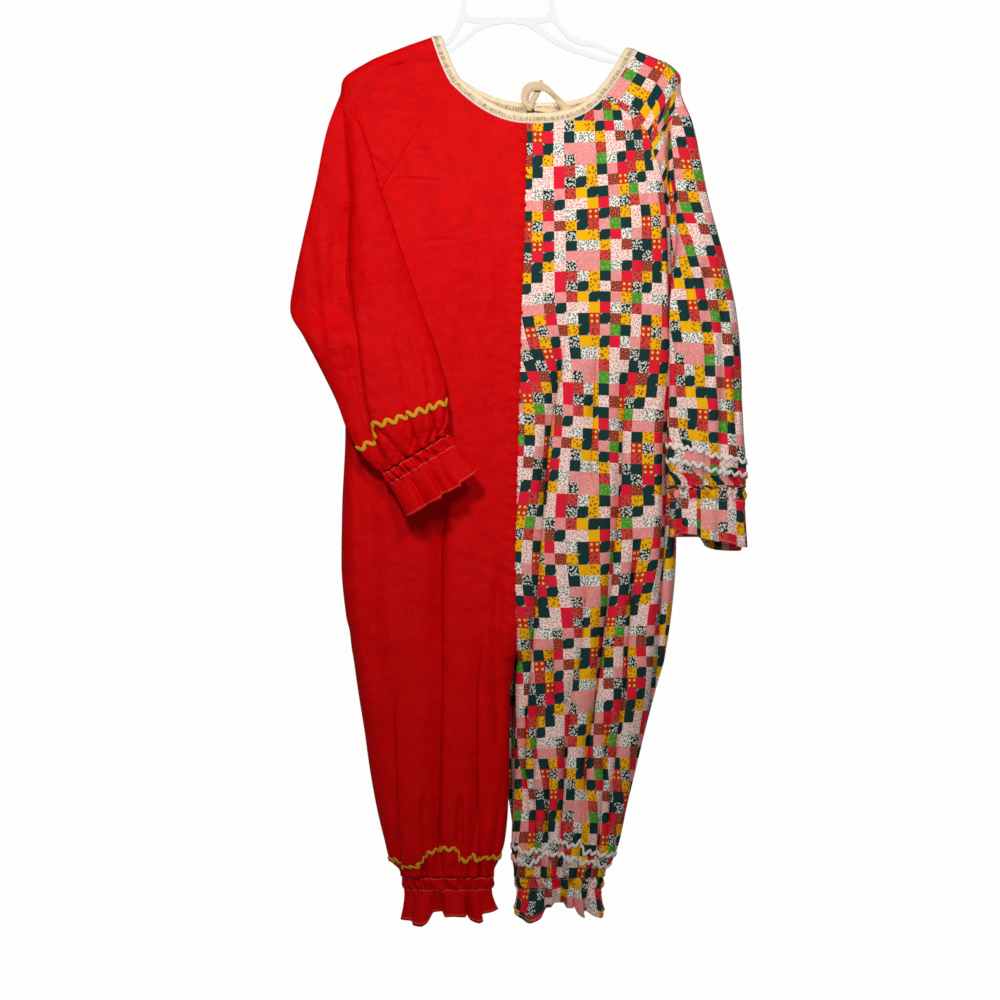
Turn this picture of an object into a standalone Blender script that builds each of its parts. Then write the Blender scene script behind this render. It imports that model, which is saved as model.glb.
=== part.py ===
"""A clown's one-piece suit, red cotton on one half and patchwork print on the other, on a clear hanger.

Millimetres in the tables, metres in the model. X runs across the chest, -Y is the front, +Z is up.
The origin is the seat of the hanger's hook. A drop is a distance below that seat.
"""
import math
from types import SimpleNamespace

import bmesh
import bpy
import numpy
from mathutils import Vector

for old in list(bpy.data.objects):
    bpy.data.objects.remove(old, do_unlink=True)

# ---------------------------------------------------------------- driving sizes (millimetres)
MM = 0.001
CLOTH = 1.5
BINDING_THICK = 2.2
BINDING_WIDTH = 15.0
SEAM = 0.15             # each edge stops this far from the seam line
RAGLAN_GAP = 0.21       # the same across the slanting raglan seam
BINDING_GAP = 0.45      # clear space between the binding and the cloth's edge
CORNER = 1.0            # the same where four edges meet, at the underarm and the crotch
EDGE_TURN = 3.0         # depth of the flat turn beside a side seam
LEAST_RISE = 0.4        # the cloth stands at least this much further out than that turn
CENTRE_STEP = 6.0       # first column beside the centre seam
LAP = 2.5               # clear space between a sleeve and the cloth that it lies on
FOLD_TURN = 5.0         # depth of a sleeve's folded edge
CROTCH_TOP = 925.0
CROTCH = 988.0
ANKLE = 1269.0
CASING_TOP = 1262.0     # from here to the ankle the cloth is gathered
CASING_GATHER = 1.6
HANGER_HALF_THICK = 2.5
HOOK_WIRE = 2.8
HOOK_RADIUS = 19.8
NECK_CENTRE = (35.0, 165.0)
BINDING_TOP_DEPTH = 0.96        # depth of the binding's upper edge, as a share of the lower one's

# Columns of cloth in each half: an even number, two to a gather at the ankle.
PANEL_COLUMNS = {"red": 12, "patch": 14}
STRAIGHT_SPACING = 0.75         # how far the columns are evenly spaced; the rest crowd to the side
LEG_CROWDING = 0.6              # how far the columns of a leg crowd to both its edges
LAST_COLUMN = 0.97              # place of the last column before the raglan seam

# ---------------------------------------------------------------- outline and sections of the body
SECTION_NAMES = ("drop", "red_side", "red_inner", "patch_inner", "patch_side", "depth", "rounding")
SECTIONS = (
    (172, -85, 24, 24, 150, 8.5, 13),
    (234, -216, 23, 23, 222, 12, 15),
    (300, -213, 23, 23, 212, 16, 20),
    (398, -207, 21, 21, 207, 22, 24),
    (448, -204, 20, 20, 210, 24, 26),
    (520, -208, 17, 17, 213, 25, 28),
    (600, -212, 15, 15, 216, 26, 28),
    (700, -213, 12, 12, 217, 28, 28),
    (790, -217, 10, 10, 218, 29, 30),
    (860, -218, 8, 8, 217, 31, 32),
    (930, -212, 9, 9, 211, 32, 34),
    (952, -207, 10, 10, 208, 33, 36),
    (970, -205, 10, 10, 205, 33, 38),
    (988, -202, 9, 10, 202, 33, 40),
    (1002, -200, 7, 9, 198, 33, 42),
    (1030, -196, 3, 7, 190, 33, 44),
    (1080, -188, 2, 6, 177, 33, 48),
    (1130, -181, 1, 5, 165, 33, 52),
    (1180, -172, -1, 4, 153, 32, 56),
    (1222, -162, -5, 3, 144, 31, 58),
    (1248, -155, -13, 4, 135, 29, 58),
    (CASING_TOP, -141, -19, 6, 125, 26, 59),
    (ANKLE, -141, -19, 6, 125, 26, 59),
)
TORSO_ROWS = (520, 600, 700, 790, 860, 930, 952, 970, 982, 988, 1002, 1030, 1080, 1130, 1180, 1222, 1248,
              CASING_TOP, ANKLE)

SHOULDER = {
    "red": ((-85, 172), (-101, 178), (-140, 192), (-185, 211), (-216, 234)),
    "patch": ((150, 189), (165, 195), (187, 204), (206, 212), (222, 227)),
}
UNDERARM_OUTLINE = {
    "red": ((-221, 256), (-213, 290), (-208, 370), (-204, 448)),
    "patch": ((224, 252), (211, 290), (208.5, 345), (207, 398)),
}
# Raglan seam, from the neck edge to the underarm, and the centre drop of the row that ends there.
RAGLAN = {
    "red": ((-77, 237), (-98, 264), (-116, 296), (-133, 324), (-145, 345), (-159, 368), (-181, 407),
            (-204, 448)),
    "patch": ((124, 257), (145, 272), (163, 286), (176, 298), (182, 311), (188, 332), (198, 362),
              (207, 398)),
}
CENTRE_DROPS = {
    "front": (291, 310, 332, 354, 374, 396, 424, 456),
    "back": (282, 303, 327, 350, 371, 394, 423, 456),
}
NECK_BEND = {"red": 2.0, "patch": 3.4}

# Long soft folds: column of the panel, drop where it begins and ends, and depth.
FOLD_NAMES = ("half", "face", "column", "start", "end", "depth")
FOLDS = (
    ("red", "front", 4, 820, 1300, 5.0),
    ("red", "front", 7, 880, 1240, 3.5),
    ("red", "back", 5, 560, 1260, 5.0),
    ("red", "back", 8, 760, 1260, 4.0),
    ("patch", "front", 4, 500, 1260, 7.0),
    ("patch", "front", 7, 900, 1260, 6.0),
    ("patch", "front", 9, 560, 1260, 8.0),
    ("patch", "back", 4, 620, 1260, 6.0),
    ("patch", "back", 8, 520, 1260, 7.0),
)
FOLD_FADE = 120.0       # length over which a fold dies out
FOLD_RIDGE = 0.35       # rise of the columns beside a trough, as a share of its depth
# Share of the panel's width at which its two leading folds lie, by drop.
FOLD_DRIFT = {
    "drop": (500, 600, 800, 1000, 1250),
    "first": (0.30, 0.24, 0.19, 0.18, 0.20),
    "second": (0.72, 0.69, 0.64, 0.61, 0.64),
}
DRIFT_COLUMNS = (4, 9)

# ---------------------------------------------------------------- sleeves
# Rows below the shoulder point: the folded front edge, the outer edge, the height of the hollow,
# how far the row is a plain oval, and the height of its gathers.
SLEEVE_NAMES = ("edge_x", "edge_drop", "outer_x", "outer_drop", "hollow", "oval", "gather")
SLEEVE_ROWS = {
    "red": (
        (-197, 288, -233, 290, 4, 0.0, 0),
        (-167, 375, -252, 375, 10, 0.0, 0),
        (-144, 442, -269, 448, 15, 0.0, 0),
        (-128, 490, -279, 496, 19, 0.0, 0),
        (-114, 530, -284, 535, 22, 0.0, 0),
        (-101, 565, -265, 570, 23, 0.0, 0),
        (-89, 603, -246, 606, 24, 0.2, 0),
        (-82, 630, -222, 655, 24, 0.4, 0),
        (-81, 643, -207, 694, 22, 0.7, 0),
        (-79, 664, -186, 726, 19, 1.0, 0),
        (-77, 681, -172, 739, 17, 1.0, 0),
        (-79.5, 690.6, -166, 742.6, 16, 1.0, 1.8),
        (-77.4, 694, -163.9, 746, 16, 1.0, 1.8),
    ),
    "patch": (
        (216, 286, 237, 287, 4, 0.0, 0),
        (214.5, 342, 250, 345, 8, 0.0, 0),
        (213.5, 398, 261, 398, 12, 0.0, 0),
        (214, 430, 270, 430, 16, 0.0, 0),
        (214, 470, 281, 470, 20, 0.0, 0),
        (213, 525, 293, 525, 22, 0.0, 0),
        (210, 585, 300, 590, 24, 0.2, 0),
        (207, 650, 302, 655, 24, 0.4, 0),
        (204, 698, 305, 710, 22, 0.7, 0),
        (204, 722, 307, 736, 19, 1.0, 0),
        (205, 742, 307, 752, 17, 1.0, 0),
        (207, 760, 306, 760, 15, 1.0, 1.8),
        (207, 764, 306, 764, 15, 1.0, 1.8),
    ),
}
# Where the cloth starts and turns in the first rows: the seam, or below the underarm the middle of
# the tube's inner side, then the valley behind the folded edge, each with its depth.
TURN_NAMES = ("seam_x", "seam_drop", "seam_depth", "valley_x", "valley_drop", "valley_depth")
TURNS = {
    "red": (
        (None, None, None, -213, 290, 9),
        (None, None, None, -211, 370, 10),
        (-204.6, 448, 0, -209, 446, 10),
        (-210, 490, 8, -212, 489, 18),
        (-215, 535, 20, -200, 533, 28),
    ),
    "patch": (
        (None, None, None, 210, 290, 5),
        (None, None, None, 208, 345, 5),
        (207.6, 398, 0, 210.5, 397, 5.5),
        (212, 430, 1, 213, 430, 6),
        (214, 470, 3, 214.5, 470, 5.5),
    ),
}
FLAT_BACK = {"red": 31.0, "patch": 5.0}        # depth of the back of a sleeve lying on the suit
OVAL_BACK = {"red": 34.0, "patch": 15.0}       # the same for its oval rows
EDGE_LIFT = {"red": 0.0, "patch": 5.0}
SHOULDER_ROWS = 5
UNDERARM_ROW = 7
UNDERARM_PLACE = {"red": 0.48, "patch": 0.75}  # share of the tube's width where that seam lies
# Columns of each stretch round a sleeve: seam to valley, the valley's turn, valley to folded edge,
# that edge's turn, the front, the outer edge's turn, and the back.
STRETCHES = {"red": (3, 1, 3, 1, 10, 1, 5), "patch": (2, 1, 2, 1, 10, 1, 7)}
# The same stretches where the cloth passes over the shoulder: 0 front seam, 1 ridge, 2 back seam.
AT_NECK = (0.0, 0.40, 0.46, 0.66, 0.70, 1.10, 1.16, 2.0)
AT_SHOULDER_POINT = (0.0, 0.70, 0.735, 0.82, 0.85, 0.992, 1.008, 2.0)
# The groove that the fold grows from: stretch, and how far it stands out (+) or in (-) there.
GROOVE_STRETCHES = (0, 0.4, 1, 2, 3, 4, 4.5, 5, 7)
GROOVE_DEPTHS = (0, 0, -4.5, -3.5, 1, 1.5, 1.5, 0, 0)
GROOVE_START = 0.35     # its share in the row before
LAST_TURN_ROW = SHOULDER_ROWS + len(TURNS["red"]) - 1
VALLEY_DEPTH = {"red": 4.0, "patch": 2.5}      # least depth of the cloth under a sleeve
SEAM_EASE = {"red": 1.5, "patch": 2.5}  # how long a sleeve keeps the panel's depth beside the seam
NECK_BOW = 4.0          # how far the shoulder's neck edge bows down
EDGE_ANGLE = math.radians(7.5)
CREASE_COLUMN = 13      # the sharp crease down the red sleeve's front
CREASE_DEPTH = 7.0
CREASE_SHARE = 0.4      # its most, as a share of the hollow
CREASE_ROWS = (6, 12)

# ---------------------------------------------------------------- cuffs: elastic casing and ruffle
# Along the limb from the seam: distance, half width, half depth, wave height.
CUFF_NAMES = ("along", "half_width", "half_depth", "wave", "forward")
CUFFS = {
    "cuff_red": dict(
        top=(-120.65, 720.0), direction=(0.515, 0.857), depth=50.0, waves=12, slant=0.0,
        rows=((0.3, 50, 16, 0, 0), (17, 50, 16, 1.5, 1), (40, 50, 15, 5, 6), (63, 52, 14, 8, 13))),
    "cuff_patch": dict(
        top=(256.5, 764.0), direction=(0.0, 1.0), depth=30.0, waves=12, slant=0.09,
        rows=((0.3, 49, 15, 0, 0), (19, 48, 15, 1.5, 0), (48, 45, 14, 4, 2), (76, 43, 13, 7, 5))),
    "ankle_red": dict(
        top=(-80.0, 1269.0), direction=(0.0, 1.0), depth=0.0, waves=12, slant=0.0,
        rows=((0.3, 61, 26, 0, 0), (21, 58, 25, 1.5, 0), (37, 56, 23, 5, 0), (53, 57, 24, 9, 0))),
    "ankle_patch": dict(
        top=(65.5, 1269.0), direction=(0.0, 1.0), depth=0.0, waves=14, slant=0.0,
        rows=((0.3, 59.5, 26, 0, 0), (21, 56, 25, 1.5, 0), (36, 52, 23, 4, 0), (50, 53, 23, 7, 0))),
}
COLUMNS_PER_WAVE = 4

# ---------------------------------------------------------------- zigzag braid (rickrack)
BRAID_HALF_TAPE = 2.3
BRAID_SWING = 2.6
BRAID_THICK = 1.2
BRAID_LIFT = 0.9
# name, what it is sewn to, row of that piece where its middle lies
SLEEVE_BRAIDS = (("braid_sleeve_red", "red", 13.5), ("braid_sleeve_patch_upper", "patch", 13.55),
                 ("braid_sleeve_patch_lower", "patch", 14.45))
LEG_BRAIDS = (("braid_leg_red", "red", 1240), ("braid_leg_patch_upper", "patch", 1222),
              ("braid_leg_patch_lower", "patch", 1238))

# ---------------------------------------------------------------- colours: colour, roughness
FINISHES = {
    "red_cotton": ((0.68, 0.005, 0.012, 1.0), 0.8),
    "patchwork_cotton": ((0.60, 0.36, 0.25, 1.0), 0.8),
    "cream_binding": ((0.86, 0.74, 0.55, 1.0), 0.7),
    "ochre_braid": ((0.75, 0.40, 0.06, 1.0), 0.7),
    "white_braid": ((0.90, 0.88, 0.86, 1.0), 0.7),
    "clear_plastic": ((0.90, 0.92, 0.94, 0.35), 0.12),
}


# ---------------------------------------------------------------- small tools
def blend(start, end, share):
    """The value part of the way from one to another."""
    return start + (end - start) * share


def between(start, end, share):
    """The point part of the way from one (x, drop) to another."""
    return tuple(blend(a, b, share) for a, b in zip(start, end))


def section(drop):
    """The body's sizes at a drop, worked out between the rows of SECTIONS."""
    drops = [row[0] for row in SECTIONS]
    columns = list(zip(*SECTIONS))
    sizes = {}
    for name, column in zip(SECTION_NAMES, columns):
        sizes[name] = float(numpy.interp(drop, drops, column))
    return SimpleNamespace(**sizes)


def outline(half):
    """The flat suit's outer edge on one half: shoulder, armhole fold, side seam."""
    side = SECTION_NAMES.index(half + "_side")
    below = UNDERARM_OUTLINE[half][-1][1] + 1
    sides = [(row[side], row[0]) for row in SECTIONS if row[0] > below]
    return list(SHOULDER[half]) + list(UNDERARM_OUTLINE[half]) + sides


def distance_to_line(x, drop, points):
    """The shortest distance from a point to a line of straight stretches."""
    place = Vector((x, drop))
    nearest = math.inf
    for start, end in zip(points, points[1:]):
        a, b = Vector(start), Vector(end)
        share = max(0.0, min(1.0, (place - a).dot(b - a) / (b - a).length_squared))
        nearest = min(nearest, (place - a.lerp(b, share)).length)
    return nearest


def rounded(share):
    """A quarter round: 0 at the edge, 1 from one radius in."""
    share = max(0.0, min(1.0, share))
    return math.sqrt(1.0 - (1.0 - share) ** 2)


def crotch_share(drop):
    """0 above the crotch, 1 below it, where each leg closes on its inside."""
    share = max(0.0, min(1.0, (drop - CROTCH_TOP) / (CROTCH - CROTCH_TOP)))
    return 1.0 - math.sqrt(1.0 - share ** 2)


OUTLINES = {half: outline(half) for half in ("red", "patch")}


def half_depth(x, drop, half):
    """How far the cloth stands from the middle of the suit, front or back."""
    here = section(drop)
    depth = here.depth
    for line in OUTLINES.values():
        depth *= rounded(distance_to_line(x, drop, line) / here.rounding)
    inner = here.red_inner if half == "red" else here.patch_inner
    inner_round = rounded(abs(x - inner) / here.rounding)
    return depth * blend(1.0, inner_round, crotch_share(drop))


def point(x, depth, drop):
    """A place in the model, in metres, from the tables' millimetres."""
    return Vector((x * MM, depth * MM, -drop * MM))


def finish(name):
    """The named material, made once."""
    material = bpy.data.materials.get(name)
    if material is None:
        colour, roughness = FINISHES[name]
        material = bpy.data.materials.new(name)
        material.use_nodes = True
        shader = material.node_tree.nodes["Principled BSDF"]
        shader.inputs["Base Color"].default_value = colour
        shader.inputs["Roughness"].default_value = roughness
        shader.inputs["Alpha"].default_value = colour[3]
    return material


def show(name, mesh, material):
    """Puts a mesh in the scene as a named object with its own material."""
    own = finish(material).copy()
    own.name = name + "_" + material
    mesh.materials.append(own)
    thing = bpy.data.objects.new(name, mesh)
    bpy.context.scene.collection.objects.link(thing)
    return thing


def cloth(name, rows, material, flip=False, closed_from=None, thick=CLOTH, outward=False):
    """A sheet through rows of points, thickened to a wall. From the row closed_from on it is a tube."""
    shape = bmesh.new()
    grid = []
    for number, row in enumerate(rows):
        closed = closed_from is not None and number >= closed_from
        made = [shape.verts.new(place) for place in (row[:-1] if closed else row)]
        if closed:
            made.append(made[0])
        grid.append(made)
    for upper, lower in zip(grid, grid[1:]):
        for column in range(len(upper) - 1):
            corners = [upper[column], upper[column + 1], lower[column + 1], lower[column]]
            shape.faces.new(corners[::-1] if flip else corners)
    mesh = bpy.data.meshes.new(name)
    shape.to_mesh(mesh)
    shape.free()
    mesh.shade_smooth()
    sheet = show(name, mesh, material)
    wall = sheet.modifiers.new("cloth", "SOLIDIFY")
    wall.thickness = thick * MM
    wall.offset = 1.0 if outward else -1.0
    return sheet


# ---------------------------------------------------------------- body panels, neck to ankle
def fold_depth(half, face, column, drop):
    """Depth of the long folds at one column: a trough, with low ridges beside it."""
    total = 0.0
    for row in FOLDS:
        fold = SimpleNamespace(**dict(zip(FOLD_NAMES, row)))
        if (fold.half, fold.face) != (half, face):
            continue
        fade_in = max(0.0, min(1.0, (drop - fold.start) / FOLD_FADE))
        fade_out = max(0.0, min(1.0, (fold.end - drop) / FOLD_FADE))
        strength = fold.depth * fade_in * fade_out
        if column == fold.column:
            total += strength
        elif abs(column - fold.column) == 1:
            total -= strength * FOLD_RIDGE
    return total


def column_shares(half, drop):
    """Share of the panel's width at which each column lies, leading folds and all."""
    count = PANEL_COLUMNS[half]
    steps = [step / (count - 2) for step in range(count - 1)]
    leg = crotch_share(drop)
    shares = []
    for step in steps:
        toward_side = blend(math.sin(step * math.pi / 2), step, STRAIGHT_SPACING)
        toward_edges = (1 - math.cos(step * math.pi)) / 2
        shares.append(blend(toward_side, toward_edges, LEG_CROWDING * leg))
    if half == "patch":
        fixed = [shares[column - 1] for column in DRIFT_COLUMNS]
        first = numpy.interp(drop, FOLD_DRIFT["drop"], FOLD_DRIFT["first"])
        second = numpy.interp(drop, FOLD_DRIFT["drop"], FOLD_DRIFT["second"])
        shares = [float(numpy.interp(s, (0, *fixed, 1), (0, first, second, 1))) for s in shares]
    return shares


def chest_row(half, face, number):
    """A row above the underarm, from the centre seam to the raglan seam."""
    side = 1 if half == "patch" else -1
    facing = -1 if face == "front" else 1
    centre_drop = CENTRE_DROPS[face][number]
    seam_x, seam_drop = RAGLAN[half][number]
    centre_x = section(centre_drop).red_inner + side * SEAM
    end_x = seam_x - side * RAGLAN_GAP
    shares = [0.0] + [share * LAST_COLUMN for share in column_shares(half, centre_drop)] + [1.0]
    shares[1] = CENTRE_STEP / abs(end_x - centre_x)
    row = []
    for share in shares:
        x = blend(centre_x, end_x, share)
        drop = blend(centre_drop, seam_drop, share ** NECK_BEND[half])
        row.append(point(x, facing * half_depth(x, drop, half), drop))
    return row


def side_row(half, face, drop, side_drop=None):
    """A row below the underarm, from the centre seam or the inside leg to the side seam."""
    side = 1 if half == "patch" else -1
    facing = -1 if face == "front" else 1
    here = section(drop)
    leg = crotch_share(drop)
    inner = (here.patch_inner if half == "patch" else here.red_inner) + side * SEAM
    outer = here.patch_side if half == "patch" else here.red_side
    side_drop = drop if side_drop is None else side_drop
    if side_drop != drop:
        outer = RAGLAN[half][-1][0]
    start = inner + side * CENTRE_STEP * (1 - leg)
    gather = CASING_GATHER if drop >= CASING_TOP else 0.0
    clear = CORNER if drop in (CENTRE_DROPS[face][UNDERARM_ROW], CROTCH) else SEAM
    edge = max(half_depth(inner, drop, half) * (1 - leg), clear)
    row = [point(inner, facing * edge, drop)]
    shares = column_shares(half, drop)
    for column, share in enumerate(shares, start=1):
        x = blend(start, outer, share)
        here_drop = blend(drop, side_drop, share ** 2)
        depth = half_depth(x, here_drop, half)
        if column == 1:
            depth = blend(depth, EDGE_TURN + clear, leg)
        elif column == len(shares):
            depth = EDGE_TURN + clear
        else:
            depth -= fold_depth(half, face, column, drop) * min(1.0, depth / here.depth)
            depth += gather * (1 if column % 2 else -1)
            depth = max(depth, EDGE_TURN + LEAST_RISE)
        row.append(point(x, facing * depth, here_drop))
    row.append(point(outer, facing * clear, side_drop))
    return row


def panel_rows(half, face):
    """All the rows of one panel, from the neck to the ankle."""
    rows = [chest_row(half, face, number) for number in range(UNDERARM_ROW)]
    rows.append(side_row(half, face, CENTRE_DROPS[face][UNDERARM_ROW], RAGLAN[half][-1][1]))
    return rows + [side_row(half, face, drop) for drop in TORSO_ROWS]


# ---------------------------------------------------------------- sleeves
def stretch_places(half, stops, ease=1.0):
    """Places of all the columns between the stops of the seven stretches, the last one eased."""
    places = [stops[0]]
    last = len(STRETCHES[half]) - 1
    for number, count in enumerate(STRETCHES[half]):
        start, end = stops[number], stops[number + 1]
        power = ease if number == last else 1.0
        places += [blend(start, end, (step / count) ** power) for step in range(1, count + 1)]
    return places


def groove(half, column, number):
    """How far a column of the last shoulder rows stands out, to begin the fold."""
    share = {SHOULDER_ROWS - 1: 1.0, SHOULDER_ROWS - 2: GROOVE_START}.get(number, 0.0)
    ends = numpy.cumsum((0,) + STRETCHES[half])
    stretch = float(numpy.interp(column, ends, range(len(ends))))
    return share * float(numpy.interp(stretch, GROOVE_STRETCHES, GROOVE_DEPTHS))


def shoulder_row(half, number):
    """A sleeve row over the shoulder, from the front raglan seam to the back one."""
    side = 1 if half == "patch" else -1
    seam_x, seam_drop = RAGLAN[half][number]
    seam = (seam_x + side * RAGLAN_GAP, seam_drop)
    ridge = (SHOULDER[half][1:] + UNDERARM_OUTLINE[half])[number]
    neck_bow = NECK_BOW if number == 0 else 0.0
    toward_point = number / (SHOULDER_ROWS - 1)
    stops = [blend(a, b, toward_point) for a, b in zip(AT_NECK, AT_SHOULDER_POINT)]
    row = []
    for column, place in enumerate(stretch_places(half, stops, blend(1.0, 1.6, toward_point))):
        share = place if place <= 1 else 2 - place
        facing = -1 if place <= 1 else 1
        x, drop = between(seam, ridge, share)
        drop += neck_bow * math.sin(math.pi * share)
        row.append(point(x, facing * (half_depth(x, drop, half) + groove(half, column, number)), drop))
    return row


def under_layer(x, drop, half):
    """Depth of the cloth that the sleeve lies on, with its clear space."""
    side = 1 if half == "patch" else -1
    here = section(drop)
    edge = here.patch_side if half == "patch" else here.red_side
    inside = side * (edge - x)
    depth = half_depth(x, drop, half) if inside > 0 else 0.0
    return max(depth, VALLEY_DEPTH[half]) + LAP


def sleeve_angles(half):
    """Angle of each column round the tube: 0 at the folded edge, 90 at the front."""
    turn = EDGE_ANGLE
    whole = 2 * math.pi
    seam = whole - math.acos(2 * UNDERARM_PLACE[half] - 1)
    valley = blend(seam, whole, 0.4)
    after = blend(seam, whole, 0.5)
    stops = (seam, valley, after, max(whole - turn, after), whole + turn,
             whole + math.pi - turn, whole + math.pi + turn, whole + seam)
    return stretch_places(half, stops)


def sleeve_row(half, number):
    """A sleeve row below the shoulder point."""
    here = SimpleNamespace(**dict(zip(SLEEVE_NAMES, SLEEVE_ROWS[half][number - SHOULDER_ROWS])))
    edge = Vector((here.edge_x, here.edge_drop))
    outer = Vector((here.outer_x, here.outer_drop))
    across = (edge - outer).normalized()
    front_start = sum(STRETCHES[half][:4])
    front_end = front_start + STRETCHES[half][4]
    flat = FLAT_BACK[half] if number > LAST_TURN_ROW else 0.0
    row = []
    for column, angle in enumerate(sleeve_angles(half)):
        share = (1 + math.cos(angle)) / 2
        rise = math.sin(angle)
        gather = here.gather * (1 if column % 2 else -1)
        x, drop = outer.lerp(edge, share) + across * gather * math.cos(angle)
        lying = max(under_layer(x, drop, half) + EDGE_LIFT[half] * share, flat)
        if front_start <= column <= front_end:
            lying += FOLD_TURN + here.hollow * max(0.0, rise)
        oval = OVAL_BACK[half] + here.hollow * (1 + rise)
        depth = blend(lying, oval, here.oval) + gather * rise
        if half == "red" and column == CREASE_COLUMN and CREASE_ROWS[0] <= number < CREASE_ROWS[1]:
            depth -= min(CREASE_DEPTH, CREASE_SHARE * here.hollow)
        row.append(point(x, -depth, drop))
    return row


def turned_row(half, number):
    """A row near the underarm: the body's layer, the fold, and the tube lying over it."""
    here = SimpleNamespace(**dict(zip(TURN_NAMES, TURNS[half][number - SHOULDER_ROWS])))
    side = 1 if half == "patch" else -1
    on_seam = here.seam_x is None
    if on_seam:
        seam_x, seam_drop = RAGLAN[half][number]
        seam = (seam_x + side * RAGLAN_GAP, seam_drop)
        back_depth = half_depth(*seam, half)
    else:
        seam = (here.seam_x, here.seam_drop)
        back_depth = -here.seam_depth
    valley = (here.valley_x, here.valley_drop)
    ease = SEAM_EASE[half] if on_seam else 1.0
    to_valley, _, to_edge = STRETCHES[half][:3]
    row = []
    for step in range(to_valley + 1):
        x, drop = between(seam, valley, step / to_valley)
        start_depth = half_depth(*seam, half) if on_seam else here.seam_depth
        depth = blend(start_depth, here.valley_depth, (step / to_valley) ** ease)
        row.append(point(x, -depth, drop))
    tube = sleeve_row(half, number)
    front_start = sum(STRETCHES[half][:4])
    front_end = front_start + STRETCHES[half][4]
    folded = tube[front_start - 1]
    turned = point(valley[0], -(here.valley_depth + LAP), valley[1])
    row.append(turned)
    for step in range(1, to_edge + 1):
        place = turned.lerp(folded, step / to_edge)
        if step < to_edge:
            lying = under_layer(place.x / MM, -place.z / MM, half) * MM
            place.y = -max(lying, -place.y)
        row.append(place)
    row += tube[front_start:front_end + 2]
    start = row[-1]
    outer = (start.x / MM, -start.z / MM)
    for step in range(1, STRETCHES[half][6] + 1):
        share = step / STRETCHES[half][6]
        x, drop = between(outer, seam, share)
        row.append(point(x, blend(start.y / MM, back_depth, rounded(share)), drop))
    return row


def sleeve_rows(half):
    """All the rows of one sleeve, from the neck to the casing at its wrist."""
    last = SHOULDER_ROWS + len(SLEEVE_ROWS[half])
    rows = [shoulder_row(half, number) for number in range(SHOULDER_ROWS)]
    rows += [turned_row(half, number) for number in range(SHOULDER_ROWS, LAST_TURN_ROW + 1)]
    return rows + [sleeve_row(half, number) for number in range(LAST_TURN_ROW + 1, last)]


# ---------------------------------------------------------------- cuffs
def cuff_rows(top, direction, depth, waves, slant, rows):
    """Rings along a limb, its ruffle waving outwards more and more."""
    count = waves * COLUMNS_PER_WAVE
    across = (direction[1], -direction[0])
    rings = []
    for number, row in enumerate(rows):
        here = SimpleNamespace(**dict(zip(CUFF_NAMES, row)))
        ring = []
        for column in range(count + 1):
            angle = 2 * math.pi * column / count
            uneven = 1.0 + 0.25 * math.sin(3 * angle + 1.0)
            wave = here.wave * uneven * (0.5 + 0.5 * math.cos(waves * angle))
            wide = (here.half_width + wave) * math.cos(angle)
            deep = (here.half_depth + wave) * math.sin(angle)
            along = here.along + slant * wide * (here.along / rows[-1][0])
            x = top[0] + along * direction[0] + wide * across[0]
            drop = top[1] + along * direction[1] + wide * across[1]
            ring.append(point(x, -depth - here.forward - deep, drop))
        rings.append(ring)
    return rings


# ---------------------------------------------------------------- braid
def on_grid(rows, row_place, column_place):
    """The point at a place between rows and columns, and the ways along the row and down from it."""
    row = min(int(row_place), len(rows) - 2)
    column = min(int(column_place), len(rows[0]) - 2)
    v, u = row_place - row, column_place - column
    top = rows[row][column].lerp(rows[row][column + 1], u)
    bottom = rows[row + 1][column].lerp(rows[row + 1][column + 1], u)
    along_top = rows[row][column + 1] - rows[row][column]
    along_bottom = rows[row + 1][column + 1] - rows[row + 1][column]
    along = along_top.lerp(along_bottom, v)
    down = bottom - top
    return top.lerp(bottom, v), along, down


def braid_rows(rows, middle, flip):
    """Upper and lower edge of a zigzag braid, one wave to a column of the cloth under it."""
    edges = ([], [])
    for step in range(2 * len(rows[0]) - 1):
        column = step / 2
        swing = BRAID_SWING if step % 2 else -BRAID_SWING
        _, _, down = on_grid(rows, middle, column)
        for edge, tape in zip(edges, (-BRAID_HALF_TAPE, BRAID_HALF_TAPE)):
            place = middle + (swing + tape) * MM / down.length
            spot, along, down_here = on_grid(rows, place, column)
            normal = along.cross(down_here).normalized() * (-1 if flip else 1)
            edge.append(spot + normal * BRAID_LIFT * MM)
    return edges


# ---------------------------------------------------------------- neck binding
NECK_COLUMNS = (3, 6, 9, 11, 13, 15, 18, 21)    # the sleeve's columns that the binding follows


def neck_edge(panels, sleeves):
    """The cloth's edge round the neck, from the centre back over the red half and round again."""
    edge = list(panels["red", "back"][0])
    edge += [sleeves["red"][0][column] for column in reversed(NECK_COLUMNS)]
    edge += list(reversed(panels["red", "front"][0]))
    edge += list(panels["patch", "front"][0])[1:]
    edge += [sleeves["patch"][0][column] for column in NECK_COLUMNS]
    edge += list(reversed(panels["patch", "back"][0]))
    return edge


def binding_rows(edge):
    """Upper and lower edge of the strip that stands up from the neck edge."""
    centre = Vector((NECK_CENTRE[0] * MM, 0.0, -NECK_CENTRE[1] * MM))
    upper, lower = [], []
    for place in edge:
        inward = centre - place
        inward.y = 0.0
        inward.normalize()
        lower.append(place + inward * BINDING_GAP * MM)
        top = place + inward * BINDING_WIDTH * MM
        top.y = place.y * BINDING_TOP_DEPTH
        upper.append(top)
    return [upper, lower]


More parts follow.
